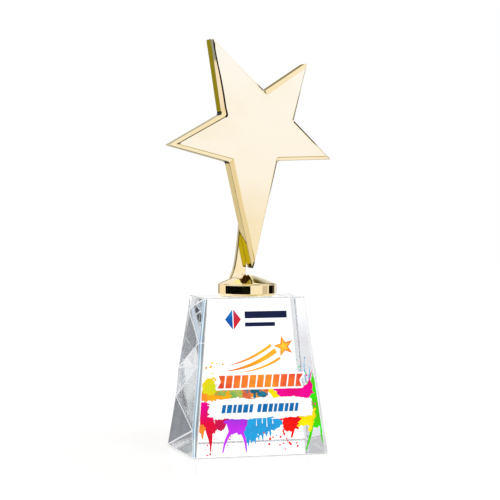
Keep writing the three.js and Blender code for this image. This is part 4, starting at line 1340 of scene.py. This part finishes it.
def stroke(p0, p1, p2, w0, w1, w2, n=28):
    """A brush stroke along a quadratic curve, thin at its ends."""
    left, right_ = [], []
    for i in range(n + 1):
        t = i / n
        x = (1 - t) ** 2 * p0[0] + 2 * t * (1 - t) * p1[0] + t * t * p2[0]
        y = (1 - t) ** 2 * p0[1] + 2 * t * (1 - t) * p1[1] + t * t * p2[1]
        dx = 2 * (1 - t) * (p1[0] - p0[0]) + 2 * t * (p2[0] - p1[0])
        dy = 2 * (1 - t) * (p1[1] - p0[1]) + 2 * t * (p2[1] - p1[1])
        L = math.hypot(dx, dy)
        w = (1 - t) ** 2 * w0 + 2 * t * (1 - t) * w1 + t * t * w2
        left.append((x - dy / L * w, y + dx / L * w))
        right_.append((x + dy / L * w, y - dx / L * w))
    return right_ + left[::-1]


SWEEP = blend("ink_sweep", [(0.0, (222, 92, 52)), (0.25, (240, 138, 34)), (0.55, (248, 186, 40)), (0.8, (242, 158, 40)), (1.0, (226, 84, 56))], 0, -24, 27, 0.10)
cut("ink_swoosh", [
    stroke((-23.0, 58.4), (-3.0, 60.4), (12.7, 71.8), 0.12, 1.5, 1.7),
    stroke((-20.6, 62.4), (-5.0, 65.2), (9.6, 75.6), 0.10, 1.1, 1.0),
    stroke((-12.6, 57.4), (3.4, 58.8), (15.6, 66.6), 0.10, 0.9, 0.9),
], 12, SWEEP, "print_swoosh")


def star_poly(cu, cv, R, r, rot):
    return [(cu + (r if i % 2 else R) * math.cos(math.pi / 2 + rot - i * math.pi / 5), cv + (r if i % 2 else R) * math.sin(math.pi / 2 + rot - i * math.pi / 5)) for i in range(10)]


cut("ink_star", [star_poly(18.6, 74.4, 7.6, 3.1, 0.25)], 12, SWEEP, "print_swoosh_star")
cut("ink_star_light", [star_poly(18.6, 74.4, 4.4, 1.8, 0.25)], 13, two_tone("ink_star_light", (252, 206, 66), (250, 190, 50)), "print_swoosh_star")
cut("ink_emblem_left", [[(-22.4, 93.4), (-17.0, 86.4), (-17.0, 100.4)]], 12, blend("ink_emblem_left", [(0.0, (20, 70, 160)), (0.5, (18, 96, 176)), (1.0, (70, 160, 210))], 2, 86, 101), "print_emblem_left")
cut("ink_emblem_right", [[(-16.4, 100.4), (-16.4, 86.4), (-11.0, 93.4)]], 12, blend("ink_emblem_right", [(0.0, (206, 30, 44)), (0.6, (200, 44, 66)), (1.0, (150, 60, 120))], 2, 86, 101), "print_emblem_right")
NAVY = two_tone("ink_navy", (27, 33, 69), (20, 26, 58))
cut("ink_caption_upper", [[(-8.4, 94.0), (21.6, 94.0), (21.6, 98.8), (-8.4, 98.8)]], 12, NAVY, "print_caption_upper")
cut("ink_caption_lower", [[(-8.4, 88.4), (13.0, 88.4), (13.0, 91.2), (-8.4, 91.2)]], 12, NAVY, "print_caption_lower")
